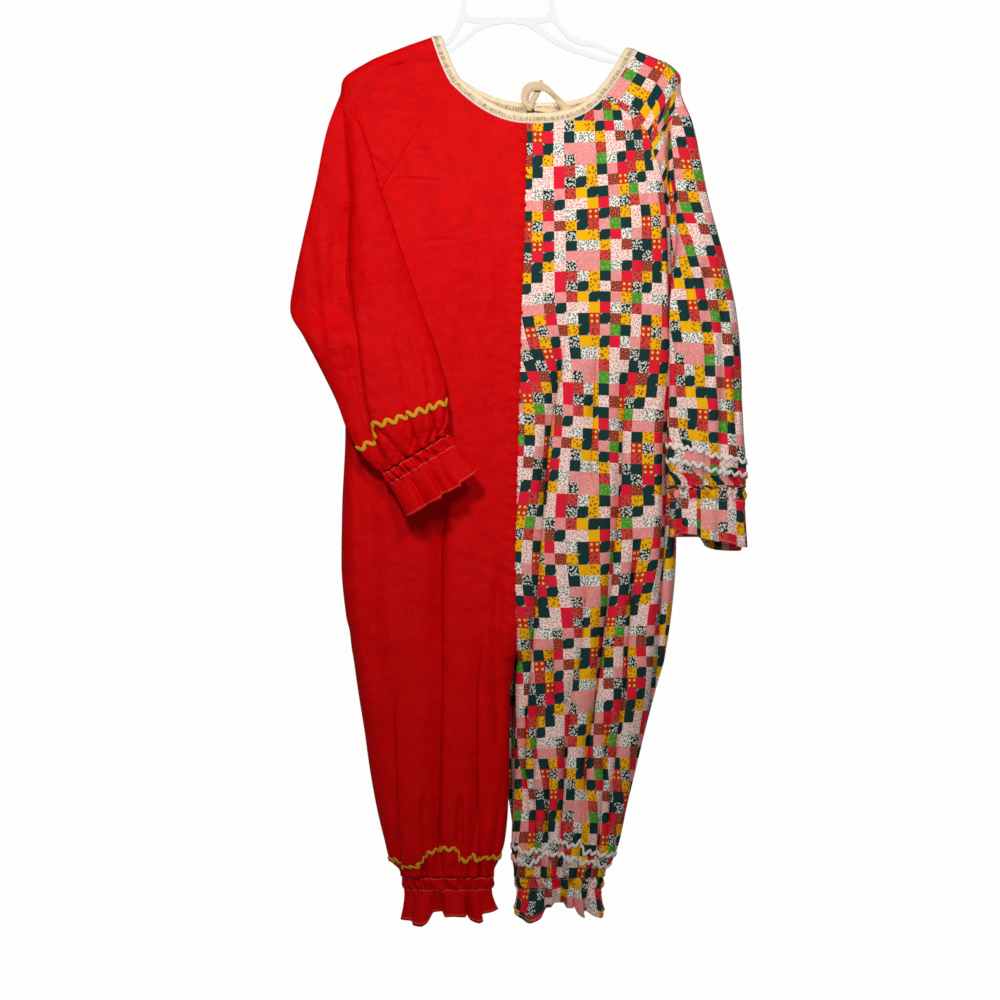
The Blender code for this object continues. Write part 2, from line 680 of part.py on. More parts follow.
# ---------------------------------------------------------------- back tie: knot, loops and ends
TIE_CENTRE = (27.0, 6.6, 269.0)
KNOT_RADII = (6.5, 4.6, 5.0)
RIBBON_WIDTH = 8.5
RIBBON_THICK = 1.0
RIBBON_START = 0.5      # share of the ribbon's width where it comes out of the knot
RIBBON_OPENING = 3      # steps from the knot to its whole width
RIBBON_STEPS = 2        # steps between two places of its path
KNOT_ROUND = 12
KNOT_RINGS = 8
# Middle lines of the ribbon: across, depth, drop, and the turn of its flat side away from the front.
TIE_PATHS = {
    "tie_loop": ((23.6, 4.5, 264.8, 60), (18.8, 4.4, 256.5, 35), (23, 4.6, 247, 30), (31, 4.6, 242, 30),
                 (41, 4.4, 242.5, 30), (50, 4.0, 247, 35), (59, 3.4, 254, 45), (67, 2.8, 262, 65),
                 (72.5, 2.2, 268.5, 82), (71.5, 1.8, 273.5, 88), (66, 2.0, 275.5, 84), (56, 2.6, 274.5, 78),
                 (46, 3.2, 273, 72), (35.6, 4.6, 271.0, 66)),
    "tie_end": ((28.0, 9.4, 264.3, 30), (33, 10.6, 256, 20), (38.5, 10.6, 248, 20), (42, 10.6, 240, 20),
                (42.3, 10.6, 232, 20)),
}


def along_curve(places, steps):
    """Points on a smooth curve through the places, with so many steps to a stretch."""
    smooth = []
    for number, (a, b) in enumerate(zip(places, places[1:])):
        before = places[max(number - 1, 0)]
        after = places[min(number + 2, len(places) - 1)]
        for step in range(steps):
            t = step / steps
            spot = 2 * a + (b - before) * t + (2 * before - 5 * a + 4 * b - after) * t ** 2
            spot += (3 * a - before - 3 * b + after) * t ** 3
            smooth.append(spot / 2)
    return smooth + [places[-1]]


def ribbon(name, path):
    """A flat ribbon along a curved middle line, pinched where it leaves the knot."""
    line = along_curve([numpy.array(spot, float) for spot in path], RIBBON_STEPS)
    edges = ([], [])
    last = len(line) - 1
    for number, (x, depth, drop, turn) in enumerate(line):
        run = line[min(number + 1, last)] - line[max(number - 1, 0)]
        level = Vector((-run[2], 0.0, run[0])).normalized()
        turn = math.radians(turn)
        across = level * math.cos(turn) + Vector((0.0, math.sin(turn), 0.0))
        steps_out = min(number, last - number) if name == "tie_loop" else number
        opening = (1 - RIBBON_START) * steps_out / RIBBON_OPENING
        width = RIBBON_WIDTH * min(1.0, RIBBON_START + opening)
        for edge, half in zip(edges, (-0.5, 0.5)):
            edge.append(point(*(Vector((x, depth, drop)) + across * half * width)))
    return cloth(name, edges, "cream_binding", thick=RIBBON_THICK)


def knot():
    """A small soft knot, wider than it is deep."""
    shape = bmesh.new()
    bmesh.ops.create_uvsphere(shape, u_segments=KNOT_ROUND, v_segments=KNOT_RINGS, radius=1.0)
    for vertex in shape.verts:
        vertex.co = Vector(radius * part for radius, part in zip(KNOT_RADII, vertex.co)) * MM
    bmesh.ops.translate(shape, verts=shape.verts, vec=point(*TIE_CENTRE))
    mesh = bpy.data.meshes.new("tie_knot")
    shape.to_mesh(mesh)
    shape.free()
    mesh.shade_smooth()
    return show("tie_knot", mesh, "cream_binding")


# ---------------------------------------------------------------- hanger
HOOK_STEM = ((0.0, 39.7), (0.2, 37.6), (2.2, 35.4), (6.6, 34.6))
HOOK_ARC = (-48, 193, 20)       # degrees round the hook: first, end, step
HOOK_SIDES = 8
HANGER_OUTSIDE = (
    (-5, 40), (-24, 50), (-46, 70), (-58, 98), (-61, 128), (-63, 146), (-70, 164), (-79, 181), (-90, 186),
    (-101, 184.5), (-140, 196.2), (-185, 215.5), (-198, 225.3), (-203, 233), (-198, 237), (-186, 233),
    (-150, 218), (-110, 205), (-90, 203), (-74, 198), (-58, 185), (-42, 171), (-22, 163), (0, 160),
    (22, 163), (38, 173), (56, 186), (74, 195), (92, 201), (120, 210), (150, 215), (186, 223),
    (202, 228), (208, 226), (207, 219.5), (187, 207.9), (168, 200.3), (161, 201.8), (150, 201), (138, 196.5),
    (112, 185),
    (94, 182), (80, 175), (66, 160), (61, 148), (57, 128), (54, 98), (44, 70), (24, 50), (5, 40),
)
HANGER_WINDOW = (
    (0, 46), (-20, 54), (-42, 74), (-53, 100), (-56, 128), (-57, 144), (-50, 152), (0, 153),
    (45, 152), (53, 144), (52, 128), (49, 100), (40, 74), (20, 54),
)
HANGER_SLOTS = (
    ((-59, 158), (-65, 170), (-75, 186), (-88, 191.5), (-101, 190), (-140, 201), (-172, 215), (-182, 224),
     (-150, 212), (-110, 199.5), (-90, 197), (-76, 193), (-60, 180), (-46, 167), (-36, 161)),
    ((57, 158), (36, 161), (44, 167), (58, 178), (76, 188), (92, 194), (120, 204), (150, 210.5),
     (186, 217), (186, 213), (166, 206), (150, 205.5), (136, 201), (112, 191), (92, 189), (76, 181)),
)


def hanger_frame():
    """The clear moulding below the hook: two ribbed arms and the window over them."""
    shape = bmesh.new()
    for line in (HANGER_OUTSIDE, HANGER_WINDOW, *HANGER_SLOTS):
        loop = [shape.verts.new(point(x, HANGER_HALF_THICK, drop)) for x, drop in line]
        for start, end in zip(loop, loop[1:] + loop[:1]):
            shape.edges.new((start, end))
    bmesh.ops.triangle_fill(shape, edges=shape.edges[:], use_beauty=True)
    made = bmesh.ops.extrude_face_region(shape, geom=shape.faces[:])
    moved = [item for item in made["geom"] if isinstance(item, bmesh.types.BMVert)]
    bmesh.ops.translate(shape, verts=moved, vec=Vector((0.0, -2 * HANGER_HALF_THICK * MM, 0.0)))
    bmesh.ops.recalc_face_normals(shape, faces=shape.faces)
    mesh = bpy.data.meshes.new("hanger_frame")
    shape.to_mesh(mesh)
    shape.free()
    return show("hanger_frame", mesh, "clear_plastic")


def hanger_hook():
    """The hook, round over the rail and bent back to the middle of the frame."""
    centre_drop = HOOK_RADIUS - HOOK_WIRE
    line = [Vector(spot) for spot in HOOK_STEM]
    for degrees in range(*HOOK_ARC):
        angle = math.radians(degrees)
        line.append(Vector((HOOK_RADIUS * math.cos(angle), centre_drop - HOOK_RADIUS * math.sin(angle))))
    shape = bmesh.new()
    rings = []
    for number, spot in enumerate(line):
        run = line[min(number + 1, len(line) - 1)] - line[max(number - 1, 0)]
        if number == 0:
            run = Vector((0.0, -1.0))
        level = Vector((-run.y, run.x)).normalized()
        ring = []
        for side in range(HOOK_SIDES):
            angle = 2 * math.pi * side / HOOK_SIDES
            x, drop = spot + level * HOOK_WIRE * math.cos(angle)
            ring.append(shape.verts.new(point(x, HOOK_WIRE * math.sin(angle), drop)))
        rings.append(ring)
    for ring, after in zip(rings, rings[1:]):
        for side in range(HOOK_SIDES):
            other = (side + 1) % HOOK_SIDES
            shape.faces.new((ring[side], ring[other], after[other], after[side]))
    shape.faces.new(rings[0])
    shape.faces.new(rings[-1])
    bmesh.ops.recalc_face_normals(shape, faces=shape.faces)
    mesh = bpy.data.meshes.new("hanger_hook")
    shape.to_mesh(mesh)
    shape.free()
    return show("hanger_hook", mesh, "clear_plastic")


# ---------------------------------------------------------------- the whole suit
MATERIALS = {"red": "red_cotton", "patch": "patchwork_cotton"}


def build():
    """Makes each piece of cloth, the trim on it, and the hanger."""
    panels = {}
    for half in ("red", "patch"):
        for face in ("front", "back"):
            rows = panel_rows(half, face)
            panels[half, face] = rows
            cloth(face + "_" + half, rows, MATERIALS[half], flip=(half == "patch") != (face == "back"))

    sleeves = {half: sleeve_rows(half) for half in ("red", "patch")}
    for half, rows in sleeves.items():
        cloth("sleeve_" + half, rows, MATERIALS[half], flip=half == "patch", closed_from=UNDERARM_ROW)

    for name, sizes in CUFFS.items():
        rings = cuff_rows(**sizes)
        cloth(name, rings, MATERIALS[name.split("_")[1]], closed_from=0)

    for name, half, middle in SLEEVE_BRAIDS:
        edges = braid_rows(sleeves[half], middle, half == "patch")
        material = "ochre_braid" if half == "red" else "white_braid"
        cloth(name, edges, material, flip=half == "patch", closed_from=0, thick=BRAID_THICK, outward=True)

    for name, half, drop in LEG_BRAIDS:
        place = UNDERARM_ROW + 1 + float(numpy.interp(drop, TORSO_ROWS, range(len(TORSO_ROWS))))
        for face in ("front", "back"):
            flip = (half == "patch") != (face == "back")
            edges = braid_rows(panels[half, face], place, flip)
            material = "ochre_braid" if half == "red" else "white_braid"
            cloth(name + "_" + face, edges, material, flip=flip, thick=BRAID_THICK, outward=True)

    cloth("neck_binding", binding_rows(neck_edge(panels, sleeves)), "cream_binding", flip=True,
          thick=BINDING_THICK)
    knot()
    for name, path in TIE_PATHS.items():
        ribbon(name, path)
    hanger_frame()
    hanger_hook()


build()
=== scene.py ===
# %% [markdown]
# # A clown's one-piece suit on a clear hanger
# One half of this suit is plain red cotton and the other half a printed patchwork cotton. It is cut
# like simple pyjamas: a front and a back for each half, two raglan sleeves, and elastic at the
# wrists and ankles. Here each cut piece becomes its own thin cloth mesh, because a tailor joins
# separate flat pieces too, and the seams then fall where they do on the real suit.

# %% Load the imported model
import math

import bmesh
import bpy
import numpy as np
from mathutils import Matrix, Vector


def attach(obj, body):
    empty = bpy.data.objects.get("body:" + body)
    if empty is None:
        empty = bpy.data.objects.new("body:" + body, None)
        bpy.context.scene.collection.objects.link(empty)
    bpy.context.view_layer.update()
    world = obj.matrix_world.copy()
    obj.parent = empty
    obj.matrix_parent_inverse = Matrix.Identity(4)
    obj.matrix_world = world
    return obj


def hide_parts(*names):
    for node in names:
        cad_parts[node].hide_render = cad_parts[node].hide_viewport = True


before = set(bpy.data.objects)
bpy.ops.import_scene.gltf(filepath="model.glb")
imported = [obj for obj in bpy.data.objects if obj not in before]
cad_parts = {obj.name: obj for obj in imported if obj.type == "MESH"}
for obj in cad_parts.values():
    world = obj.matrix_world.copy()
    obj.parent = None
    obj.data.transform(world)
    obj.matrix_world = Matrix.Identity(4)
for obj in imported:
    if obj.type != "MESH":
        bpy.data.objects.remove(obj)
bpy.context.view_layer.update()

# %% [markdown]
# ## Camera, light and floor
# The suit hangs straight, seen square from the front. Two lamps high in front are aimed at the
# chest, so the light falls off toward the ankles, and a dim pale room fills the shade. A third lamp
# lights the back. A floor well below the hems catches a faint shadow.

# %% Camera
MM = 0.001
VIEW_CENTRE = (-11.7, 780.0)        # across and below the hook's seat, millimetres
VIEW_WIDTH = 1300.0
CAMERA_AWAY = 6500.0
SENSOR = 36.0

camera_data = bpy.data.cameras.new("camera")
camera_data.sensor_width = SENSOR
camera_data.lens = SENSOR * CAMERA_AWAY / VIEW_WIDTH
camera = bpy.data.objects.new("camera", camera_data)
camera.location = (VIEW_CENTRE[0] * MM, -CAMERA_AWAY * MM, -VIEW_CENTRE[1] * MM)
camera.rotation_euler = (math.radians(90), 0, 0)
bpy.context.scene.collection.objects.link(camera)
bpy.context.scene.camera = camera
print("lens:", round(camera_data.lens, 1), "mm")


# %% Lamps, world and floor
def softbox(name, place, target, size, power, colour=(1.0, 1.0, 1.0), spread=180):
    """A round lamp aimed at a target. Places and sizes are in metres, the power in watts."""
    lamp = bpy.data.lights.new(name, "AREA")
    lamp.shape = "DISK"
    lamp.size = size
    lamp.energy = power
    lamp.color = colour
    lamp.spread = math.radians(spread)
    thing = bpy.data.objects.new(name, lamp)
    thing.location = place
    thing.rotation_euler = (Vector(target) - Vector(place)).to_track_quat("-Z", "Y").to_euler()
    bpy.context.scene.collection.objects.link(thing)


CHEST = (0.0, 0.0, -0.40)
MIDDLE = (0.0, 0.0, -0.75)
ROOM_LIGHT = 0.15
WARM = (1.0, 0.965, 0.92)
HOODED = 61             # spread of the front lamps, degrees
softbox("lamp_left", (-0.50, -1.9, 0.5), CHEST, 0.35, 3.5, WARM, HOODED)
softbox("lamp_right", (0.55, -1.9, 0.5), CHEST, 0.35, 1.7, WARM, HOODED)
softbox("lamp_back", (1.6, 2.8, 0.4), MIDDLE, 1.2, 60)
print("lamps:", len(bpy.data.lights))

# A straight look at the room, or one through clear plastic, meets bright paper instead of dim air.
world = bpy.data.worlds.new("pale_room")
world.use_nodes = True
nodes = world.node_tree.nodes
join = world.node_tree.links.new
glow = nodes["Background"]
glow.inputs["Color"].default_value = (1.0, 0.995, 0.985, 1)
glow.inputs["Strength"].default_value = ROOM_LIGHT
seen = nodes.new("ShaderNodeBackground")
seen.inputs["Color"].default_value = (0.985, 0.985, 0.98, 1)
direct = nodes.new("ShaderNodeLightPath")
through = nodes.new("ShaderNodeMath")
through.operation = "MAXIMUM"
chooser = nodes.new("ShaderNodeMixShader")
join(direct.outputs["Is Camera Ray"], through.inputs[0])
join(direct.outputs["Is Transmission Ray"], through.inputs[1])
for number, source in enumerate((through, glow, seen)):
    join(source.outputs[0], chooser.inputs[number])
join(chooser.outputs[0], nodes["World Output"].inputs[0])
bpy.context.scene.world = world
bpy.context.scene.view_settings.view_transform = "Standard"

FLOOR_DROP = 1.72
FLOOR_HALF = 1.35
floor_mesh = bpy.data.meshes.new("floor")
corners = [(x * FLOOR_HALF, y * FLOOR_HALF, -FLOOR_DROP) for x, y in ((-1, -1), (1, -1), (1, 1), (-1, 1))]
floor_mesh.from_pydata(corners, [], [(0, 1, 2, 3)])
floor = bpy.data.objects.new("floor", floor_mesh)
bpy.context.scene.collection.objects.link(floor)

# %% [markdown]
# ## A small language for shader maths
# A material's nodes are easier to read as sums. `Value` wraps one socket, and its operators add the
# Math nodes that they stand for. `Finish` holds one material, and its `node` method lays down any
# other node: settings first, then the values or links of its sockets.


# %% Sockets that can be added and multiplied
class Value:
    """One output socket of a finish, which can be used in sums."""

    def __init__(self, finish, socket):
        self.finish = finish
        self.socket = socket

    def math(self, operation, *others):
        sockets = dict(enumerate((self, *others)))
        return self.finish.node("ShaderNodeMath", {"operation": operation}, sockets)

    def __add__(self, other):
        return self.math("ADD", other)

    def __sub__(self, other):
        return self.math("SUBTRACT", other)

    def __mul__(self, other):
        return self.math("MULTIPLY", other)

    def __truediv__(self, other):
        return self.math("DIVIDE", other)

    def __lt__(self, other):
        return self.math("LESS_THAN", other)

    def __gt__(self, other):
        return self.math("GREATER_THAN", other)

    def __mod__(self, other):
        return self.math("FLOORED_MODULO", other)

    def __rsub__(self, other):
        return (self * -1.0) + other

    def __rtruediv__(self, other):
        return self.math("POWER", -1.0) * other

    __radd__ = __add__
    __rmul__ = __mul__

    def floor(self):
        return self.math("FLOOR")

    def sine(self):
        return self.math("SINE")

    def size(self):
        return self.math("ABSOLUTE")

    def between(self, low, high):
        """0 below low, 1 above high, smooth between."""
        settings = {"interpolation_type": "SMOOTHSTEP"}
        ends = {"Value": self, "From Min": low, "From Max": high}
        return self.finish.node("ShaderNodeMapRange", settings, ends)


# %% One material and its nodes
class Finish:
    """One material under way."""

    def __init__(self, name, colour=(0.8, 0.8, 0.8), roughness=0.7, sheen=0.0):
        self.material = bpy.data.materials.new(name)
        self.material.use_nodes = True
        self.nodes = self.material.node_tree.nodes
        self.links = self.material.node_tree.links
        self.shader = self.nodes["Principled BSDF"]
        self.set("Base Color", (*colour, 1.0))
        self.set("Roughness", roughness)
        self.set("Sheen Weight", sheen)

    def set(self, name, value):
        self.join(value, self.shader.inputs[name])

    def join(self, value, socket):
        if isinstance(value, Value):
            self.links.new(value.socket, socket)
        else:
            socket.default_value = value

    def node(self, kind, settings=None, sockets=None, output=0):
        made = self.nodes.new(kind)
        for name, setting in (settings or {}).items():
            if name == "stops":
                self.fill_ramp(made.color_ramp, setting)
            else:
                setattr(made, name, setting)
        for name, value in (sockets or {}).items():
            self.join(value, made.inputs[name])
        return Value(self, made.outputs[output])

    @staticmethod
    def fill_ramp(ramp, stops):
        ramp.interpolation = "CONSTANT"
        while len(ramp.elements) < len(stops):
            ramp.elements.new(1.0)
        for element, (place, colour) in zip(ramp.elements, stops):
            element.position = place
            element.color = (*colour, 1.0)

    def mix(self, share, first, second, blend="MIX"):
        """Colours mixed: first where share is 0, second where it is 1."""
        settings = {"data_type": "RGBA", "blend_type": blend}
        colours = [value if isinstance(value, Value) else (*value, 1.0) for value in (first, second)]
        return self.node("ShaderNodeMix", settings, {0: share, 6: colours[0], 7: colours[1]}, 2)

    def cloth_place(self):
        """Where a point lies on the flat cloth, in millimetres along the weft and the warp."""
        place = self.node("ShaderNodeUVMap", {"uv_map": "cloth"})
        parts = self.node("ShaderNodeSeparateXYZ", None, {0: place})
        along = parts * (1 / MM)
        down = Value(self, parts.socket.node.outputs[1]) * (1 / MM)
        return along, down, self.place(along, down)

    def place(self, along, down):
        """A place for a texture, from its two coordinates."""
        return self.node("ShaderNodeCombineXYZ", None, {0: along, 1: down})

    def noise(self, place, scale, detail=2.0):
        sockets = {"Vector": place, "Scale": scale, "Detail": detail}
        return self.node("ShaderNodeTexNoise", None, sockets)

    def dots(self, place, scale):
        """Distance from scattered points, about one to a cell."""
        sockets = {"Vector": place, "Scale": scale}
        return self.node("ShaderNodeTexVoronoi", {"voronoi_dimensions": "2D"}, sockets)

    def split(self, colour):
        """The three parts of a colour, as values."""
        parts = self.node("ShaderNodeSeparateColor", None, {0: colour}).socket.node
        return [Value(self, output) for output in parts.outputs]

    def bump(self, height, distance, strength=1.0, under=None):
        sockets = {"Height": height, "Distance": distance, "Strength": strength}
        if under is not None:
            sockets["Normal"] = under
        return self.node("ShaderNodeBump", None, sockets)


# %% [markdown]
# ## Woven cotton
# Both cottons are a plain weave: threads that pass over and under each other, two or three to the
# millimetre. The mesh carries each fold that can be seen in outline, and the finish adds what is
# smaller: the threads, and the shallow creases of cloth that was washed and hung up. All of it is
# drawn from the flat cloth's own coordinates, so it turns with the piece as it was cut.

# %% Weave and fine creases
THREAD = 0.42           # spacing of the threads, millimetres
THREAD_HEIGHT = 0.00005         # relief of the weave, metres
CREASE_HEIGHT = 0.0036          # relief of the small creases, metres


def weave_over(finish, along, down, creased):
    """Sets the finish's relief: the weave's threads over creases that are there already."""
    turn = 2 * math.pi / THREAD
    threads = (along * turn).sine() * (down * turn).sine()
    finish.set("Normal", finish.bump(threads, THREAD_HEIGHT, 0.5, creased))


def woven(finish, along, down, flat, depth=1.0):
    """Adds the weave and the small creases. Gives the soft and the long creases, for painted shade in the
    colour and for the roughness.
    """
    soft = finish.noise(flat, 0.035, 3.0)
    long = finish.noise(finish.place(along, down * 0.28), 0.055, 4.0)
    weave_over(finish, along, down, finish.bump(long * 0.6 + soft, CREASE_HEIGHT * depth, 0.9))
    return soft, long


# %% Machine stitches
STITCH = 2.6            # from one stitch to the next, millimetres
STITCH_SHARE = 0.68     # how much of that the thread covers
STITCH_WIDE = 0.7


def stitched(finish, cloth, along, down, rows, thread):
    """Colour of the cloth with rows of machine stitches, at their distances down the cloth."""
    for row in rows:
        dash = ((along % STITCH) < STITCH * STITCH_SHARE) * ((down - row).size() < STITCH_WIDE / 2)
        cloth = finish.mix(dash, cloth, thread)
    return cloth


# %% Red cotton
RED = (0.66, 0.0003, 0.0015)
# A deeper red for the painted shade in the troughs of the soft creases.
RED_CREASE_SHADE = (0.58, 0.0002, 0.0012)
RED_PALE = (0.72, 0.002, 0.004)
RED_THREAD = (0.72, 0.16, 0.14)


def red_cotton(name, depth=1.0, stitch_rows=()):
    finish = Finish(name, RED, 0.62)
    finish.set("Specular IOR Level", 0.05)
    along, down, flat = finish.cloth_place()
    soft, long = woven(finish, along, down, flat, depth)
    # Painted shade: the red goes deeper where the soft creases dip. The pale streaks after it follow the
    # threads.
    shaded_streaked_red = finish.mix(soft.between(0.35, 0.65), RED_CREASE_SHADE, RED)
    weft = finish.noise(finish.place(along * 0.05, down * 0.9), 1.0)
    warp = finish.noise(finish.place(along * 0.9, down * 0.05), 1.0)
    shaded_streaked_red = finish.mix((weft + warp).between(0.8, 1.25) * 0.8, shaded_streaked_red, RED_PALE)
    finish.set("Base Color", stitched(finish, shaded_streaked_red, along, down, stitch_rows, RED_THREAD))
    finish.set("Roughness", long.between(0.2, 0.8) * 0.15 + 0.52)
    return finish.material

# %% [markdown]
# ## The patchwork print
# This is one length of cotton, printed to look like a quilt of little squares. The layout below is
# charted one letter to a square, and two or three neighbours often share a letter, as
# cut squares would. Shader nodes read the chart: a ramp with hard steps holds 22 squares in a row,
# and the square's number picks its ground, its ink and its motif from more ramps.

# %% Chart of the print
SQUARE = 14.3           # side of one printed square, millimetres
CHART = (
    "kYySCwrfySp",
    "GwwypdkGoCp",
    "rrrfppGkCSw",
    "krrLwSCdSyp",
    "fwyGrCfyGpC",
    "kSypdokSppC",
    "fYSGryLpwkr",
    "ppYCwkfrrdS",
    "wGoSdypGyCp",
    "ySfrLGpokrd",
)
# Letter: ground, colour of the motif, which motif, and how strongly it covers.
PRINTS = {
    "Y": ((0.96, 0.49, 0.004), (0.60, 0.20, 0.01), "none", 0),
    "y": ((0.95, 0.47, 0.006), (0.20, 0.06, 0.01), "bold sprigs", 0.9),
    "G": ((0.010, 0.042, 0.040), (0.05, 0.12, 0.1), "none", 0),
    "S": ((0.010, 0.042, 0.040), (0.66, 0.56, 0.48), "cut corners", 1),
    "C": ((0.80, 0.014, 0.042), (0.50, 0.01, 0.03), "none", 0),
    "p": ((0.98, 0.78, 0.72), (0.66, 0.14, 0.14), "sprigs", 0.85),
    "r": ((0.84, 0.22, 0.22), (0.98, 0.62, 0.57), "worm lines", 0.75),
    "w": ((0.92, 0.90, 0.82), (0.06, 0.08, 0.06), "small flowers", 0.85),
    "k": ((0.012, 0.032, 0.028), (0.80, 0.78, 0.70), "small flowers", 0.95),
    "o": ((0.62, 0.035, 0.008), (0.98, 0.60, 0.20), "four dots", 1),
    "d": ((0.42, 0.050, 0.040), (0.03, 0.012, 0.02), "ringed flowers", 0.95),
    "f": ((0.68, 0.060, 0.050), (0.06, 0.02, 0.02), "bold sprigs", 0.85),
    "L": ((0.085, 0.33, 0.030), (0.38, 0.62, 0.18), "bold sprigs", 0.5),
}
# A ramp's colour has three parts, so one ramp can hold the shares of three motifs.
MOTIF_GROUPS = (
    ("sprigs", "worm lines", "small flowers"),
    ("bold sprigs", "ringed flowers", "cut corners"),
    ("four dots",),
)
HEART = (0.95, 0.36, 0.08)      # middle of a ringed flower
LETTERS = "".join(PRINTS)
CUT_CORNER = 0.70       # where two corners of a square are cut off, in squares across and down
DOT_PLACE = 0.25        # the four dots, from the middle of a square
DOT_SIZE = 0.014        # square of a dot's radius
PRINT_THREAD = (0.55, 0.42, 0.38)
SQUARES_A_RAMP = 2 * len(CHART[0])
print("squares in the chart:", sum(map(len, CHART)), "kinds:", len(PRINTS))


# %% Patchwork cotton
def chart_ramp(finish, number, rows):
    """The kind of a square, read from two rows of the chart."""
    letters = "".join(rows)
    stops = []
    for place, letter in enumerate(letters):
        shade = (LETTERS.index(letter) + 0.5) / len(LETTERS)
        stops.append((place / len(letters), (shade, shade, shade)))
    return finish.node("ShaderNodeValToRGB", {"stops": stops}, {"Fac": number})


def kind_ramp(finish, kind, colours):
    """One colour for each kind of print."""
    stops = [(place / len(LETTERS), colour) for place, colour in enumerate(colours)]
    return finish.node("ShaderNodeValToRGB", {"stops": stops}, {"Fac": kind})


def motif_shares(finish, kind):
    """The share of each motif, by its name."""
    shares = {}
    for group in MOTIF_GROUPS:
        padded = (*group, None, None)[:3]
        colours = [[share * (motif == name) for name in padded] for _, _, motif, share in PRINTS.values()]
        shares.update(zip(group, finish.split(kind_ramp(finish, kind, colours))))
    return shares


def patchwork_cotton(name, depth=1.0, stitch_rows=()):
    finish = Finish(name, (0.6, 0.4, 0.3), 0.75)
    finish.set("Specular IOR Level", 0.06)
    along, down, flat = finish.cloth_place()
    soft, long = woven(finish, along, down, flat, depth)

    wobble = (finish.noise(flat, 0.9, 1.0) - 0.5) * 0.8
    across_squares = (along + wobble) / SQUARE
    down_squares = (down + wobble) / SQUARE
    column = across_squares.floor() % float(len(CHART[0]))
    row = down_squares.floor() % float(len(CHART))
    pair = (row / 2.0).floor()
    place = (column + (row % 2.0) * float(len(CHART[0])) + 0.5) / float(SQUARES_A_RAMP)
    kind = None
    for number in range(len(CHART) // 2):
        read = chart_ramp(finish, place, CHART[2 * number:2 * number + 2])
        chosen = (pair - float(number)).size() < 0.5
        part = finish.mix(chosen, (0, 0, 0), read)
        kind = part if kind is None else finish.mix(1.0, kind, part, "ADD")

    petals = (finish.noise(flat, 1.1, 1.0) - 0.5) * 0.5
    flowers = 1 - (finish.dots(flat, 0.33) + petals).between(0.33, 0.40)
    bloom = finish.dots(flat, 0.21)
    hearts = 1 - bloom.between(0.15, 0.20)
    u = across_squares - across_squares.floor() - 0.5
    v = down_squares - down_squares.floor() - 0.5
    dot_u = u.size() - DOT_PLACE
    dot_v = v.size() - DOT_PLACE
    from_dot = dot_u * dot_u + dot_v * dot_v + petals * 0.02
    motifs = {
        "sprigs": 1 - (finish.dots(flat, 0.31) + petals * 0.3).between(0.25, 0.33),
        "worm lines": 1 - (finish.noise(flat, 0.62, 1.0) - 0.5).size().between(0.02, 0.06),
        "small flowers": flowers,
        "bold sprigs": 1 - (bloom + petals * 0.5).between(0.22, 0.28),
        "ringed flowers": 1 - bloom.between(0.34, 0.40),
        "cut corners": ((u + v + petals * 0.3).size() > CUT_CORNER) * (1 - flowers),
        "four dots": 1 - from_dot.between(DOT_SIZE * 0.8, DOT_SIZE * 1.3),
    }
    shares = motif_shares(finish, kind)
    covered = None
    for motif, mask in motifs.items():
        part = mask * shares[motif]
        covered = part if covered is None else covered.math("MAXIMUM", part)
    grounds, inks = (kind_ramp(finish, kind, [row[part] for row in PRINTS.values()]) for part in (0, 1))
    ink = finish.mix(covered, grounds, inks)
    ink = finish.mix(hearts * shares["ringed flowers"], ink, HEART)
    finish.set("Base Color", stitched(finish, ink, along, down, stitch_rows, PRINT_THREAD))
    finish.set("Roughness", long.between(0.2, 0.8) * 0.12 + 0.68)
    return finish.material


# %% [markdown]
# ## Sizes of the suit
# The tables hold the suit's outline and depth as it hangs flat: across from the middle of the
# hanger, and down from the seat of its hook. Between the rows of a table, a smooth curve is read
# instead of straight lines, because cloth has no corners where a table has a row.

# %% Outline and depth tables, millimetres
SEAM = 0.15
CROTCH_TOP = 925.0
CROTCH = 988.0
ANKLE = 1269.0
SIZE_NAMES = ("red_side", "red_inner", "patch_inner", "patch_side", "depth", "rounding")
SIZES = np.array((
    (172, -85, 24, 24, 150, 8.5, 13),
    (234, -216, 23, 23, 222, 12, 15),
    (300, -213, 23, 23, 212, 16, 20),
    (398, -207, 21, 21, 209.5, 22, 24),
    (448, -204, 20, 20, 212.5, 24, 26),
    (520, -208, 17, 17, 214, 25, 28),
    (600, -212, 15, 15, 216, 26, 28),
    (700, -213, 12, 12, 217, 28, 28),
    (790, -217, 10, 10, 218, 29, 30),
    (860, -218, 8, 8, 217, 31, 32),
    (930, -212, 9, 9, 211, 32, 34),
    (952, -207, 10, 10, 208, 33, 36),
    (970, -205, 10, 10, 205, 33, 38),
    (988, -202, 9, 10, 202, 33, 40),
    (1002, -200, 7, 9, 198, 33, 42),
    (1030, -196, 2, 8, 190, 33, 44),
    (1080, -188, 1, 8, 177, 33, 48),
    (1130, -181, 0.5, 7, 165, 33, 52),
    (1180, -172, -1, 5, 153, 32, 56),
    (1222, -162, -5, 3, 144, 31, 58),
    (1248, -155, -13, 4, 135, 29, 58),
    (1262, -142, -19, 6, 126, 26, 59),
    (ANKLE, -141, -19, 6, 125, 26, 59),
), float)
SHOULDER = {
    "red": ((-85, 172), (-101, 178), (-140, 192), (-185, 211), (-216, 234)),
    "patch": ((150, 189), (165, 195), (187, 204), (206, 212), (222, 227)),
}
UNDERARM_OUTLINE = {
    "red": ((-221, 256), (-213, 290), (-208, 370), (-204, 448)),
    "patch": ((224, 252), (212, 290), (210, 345), (209.5, 398)),
}
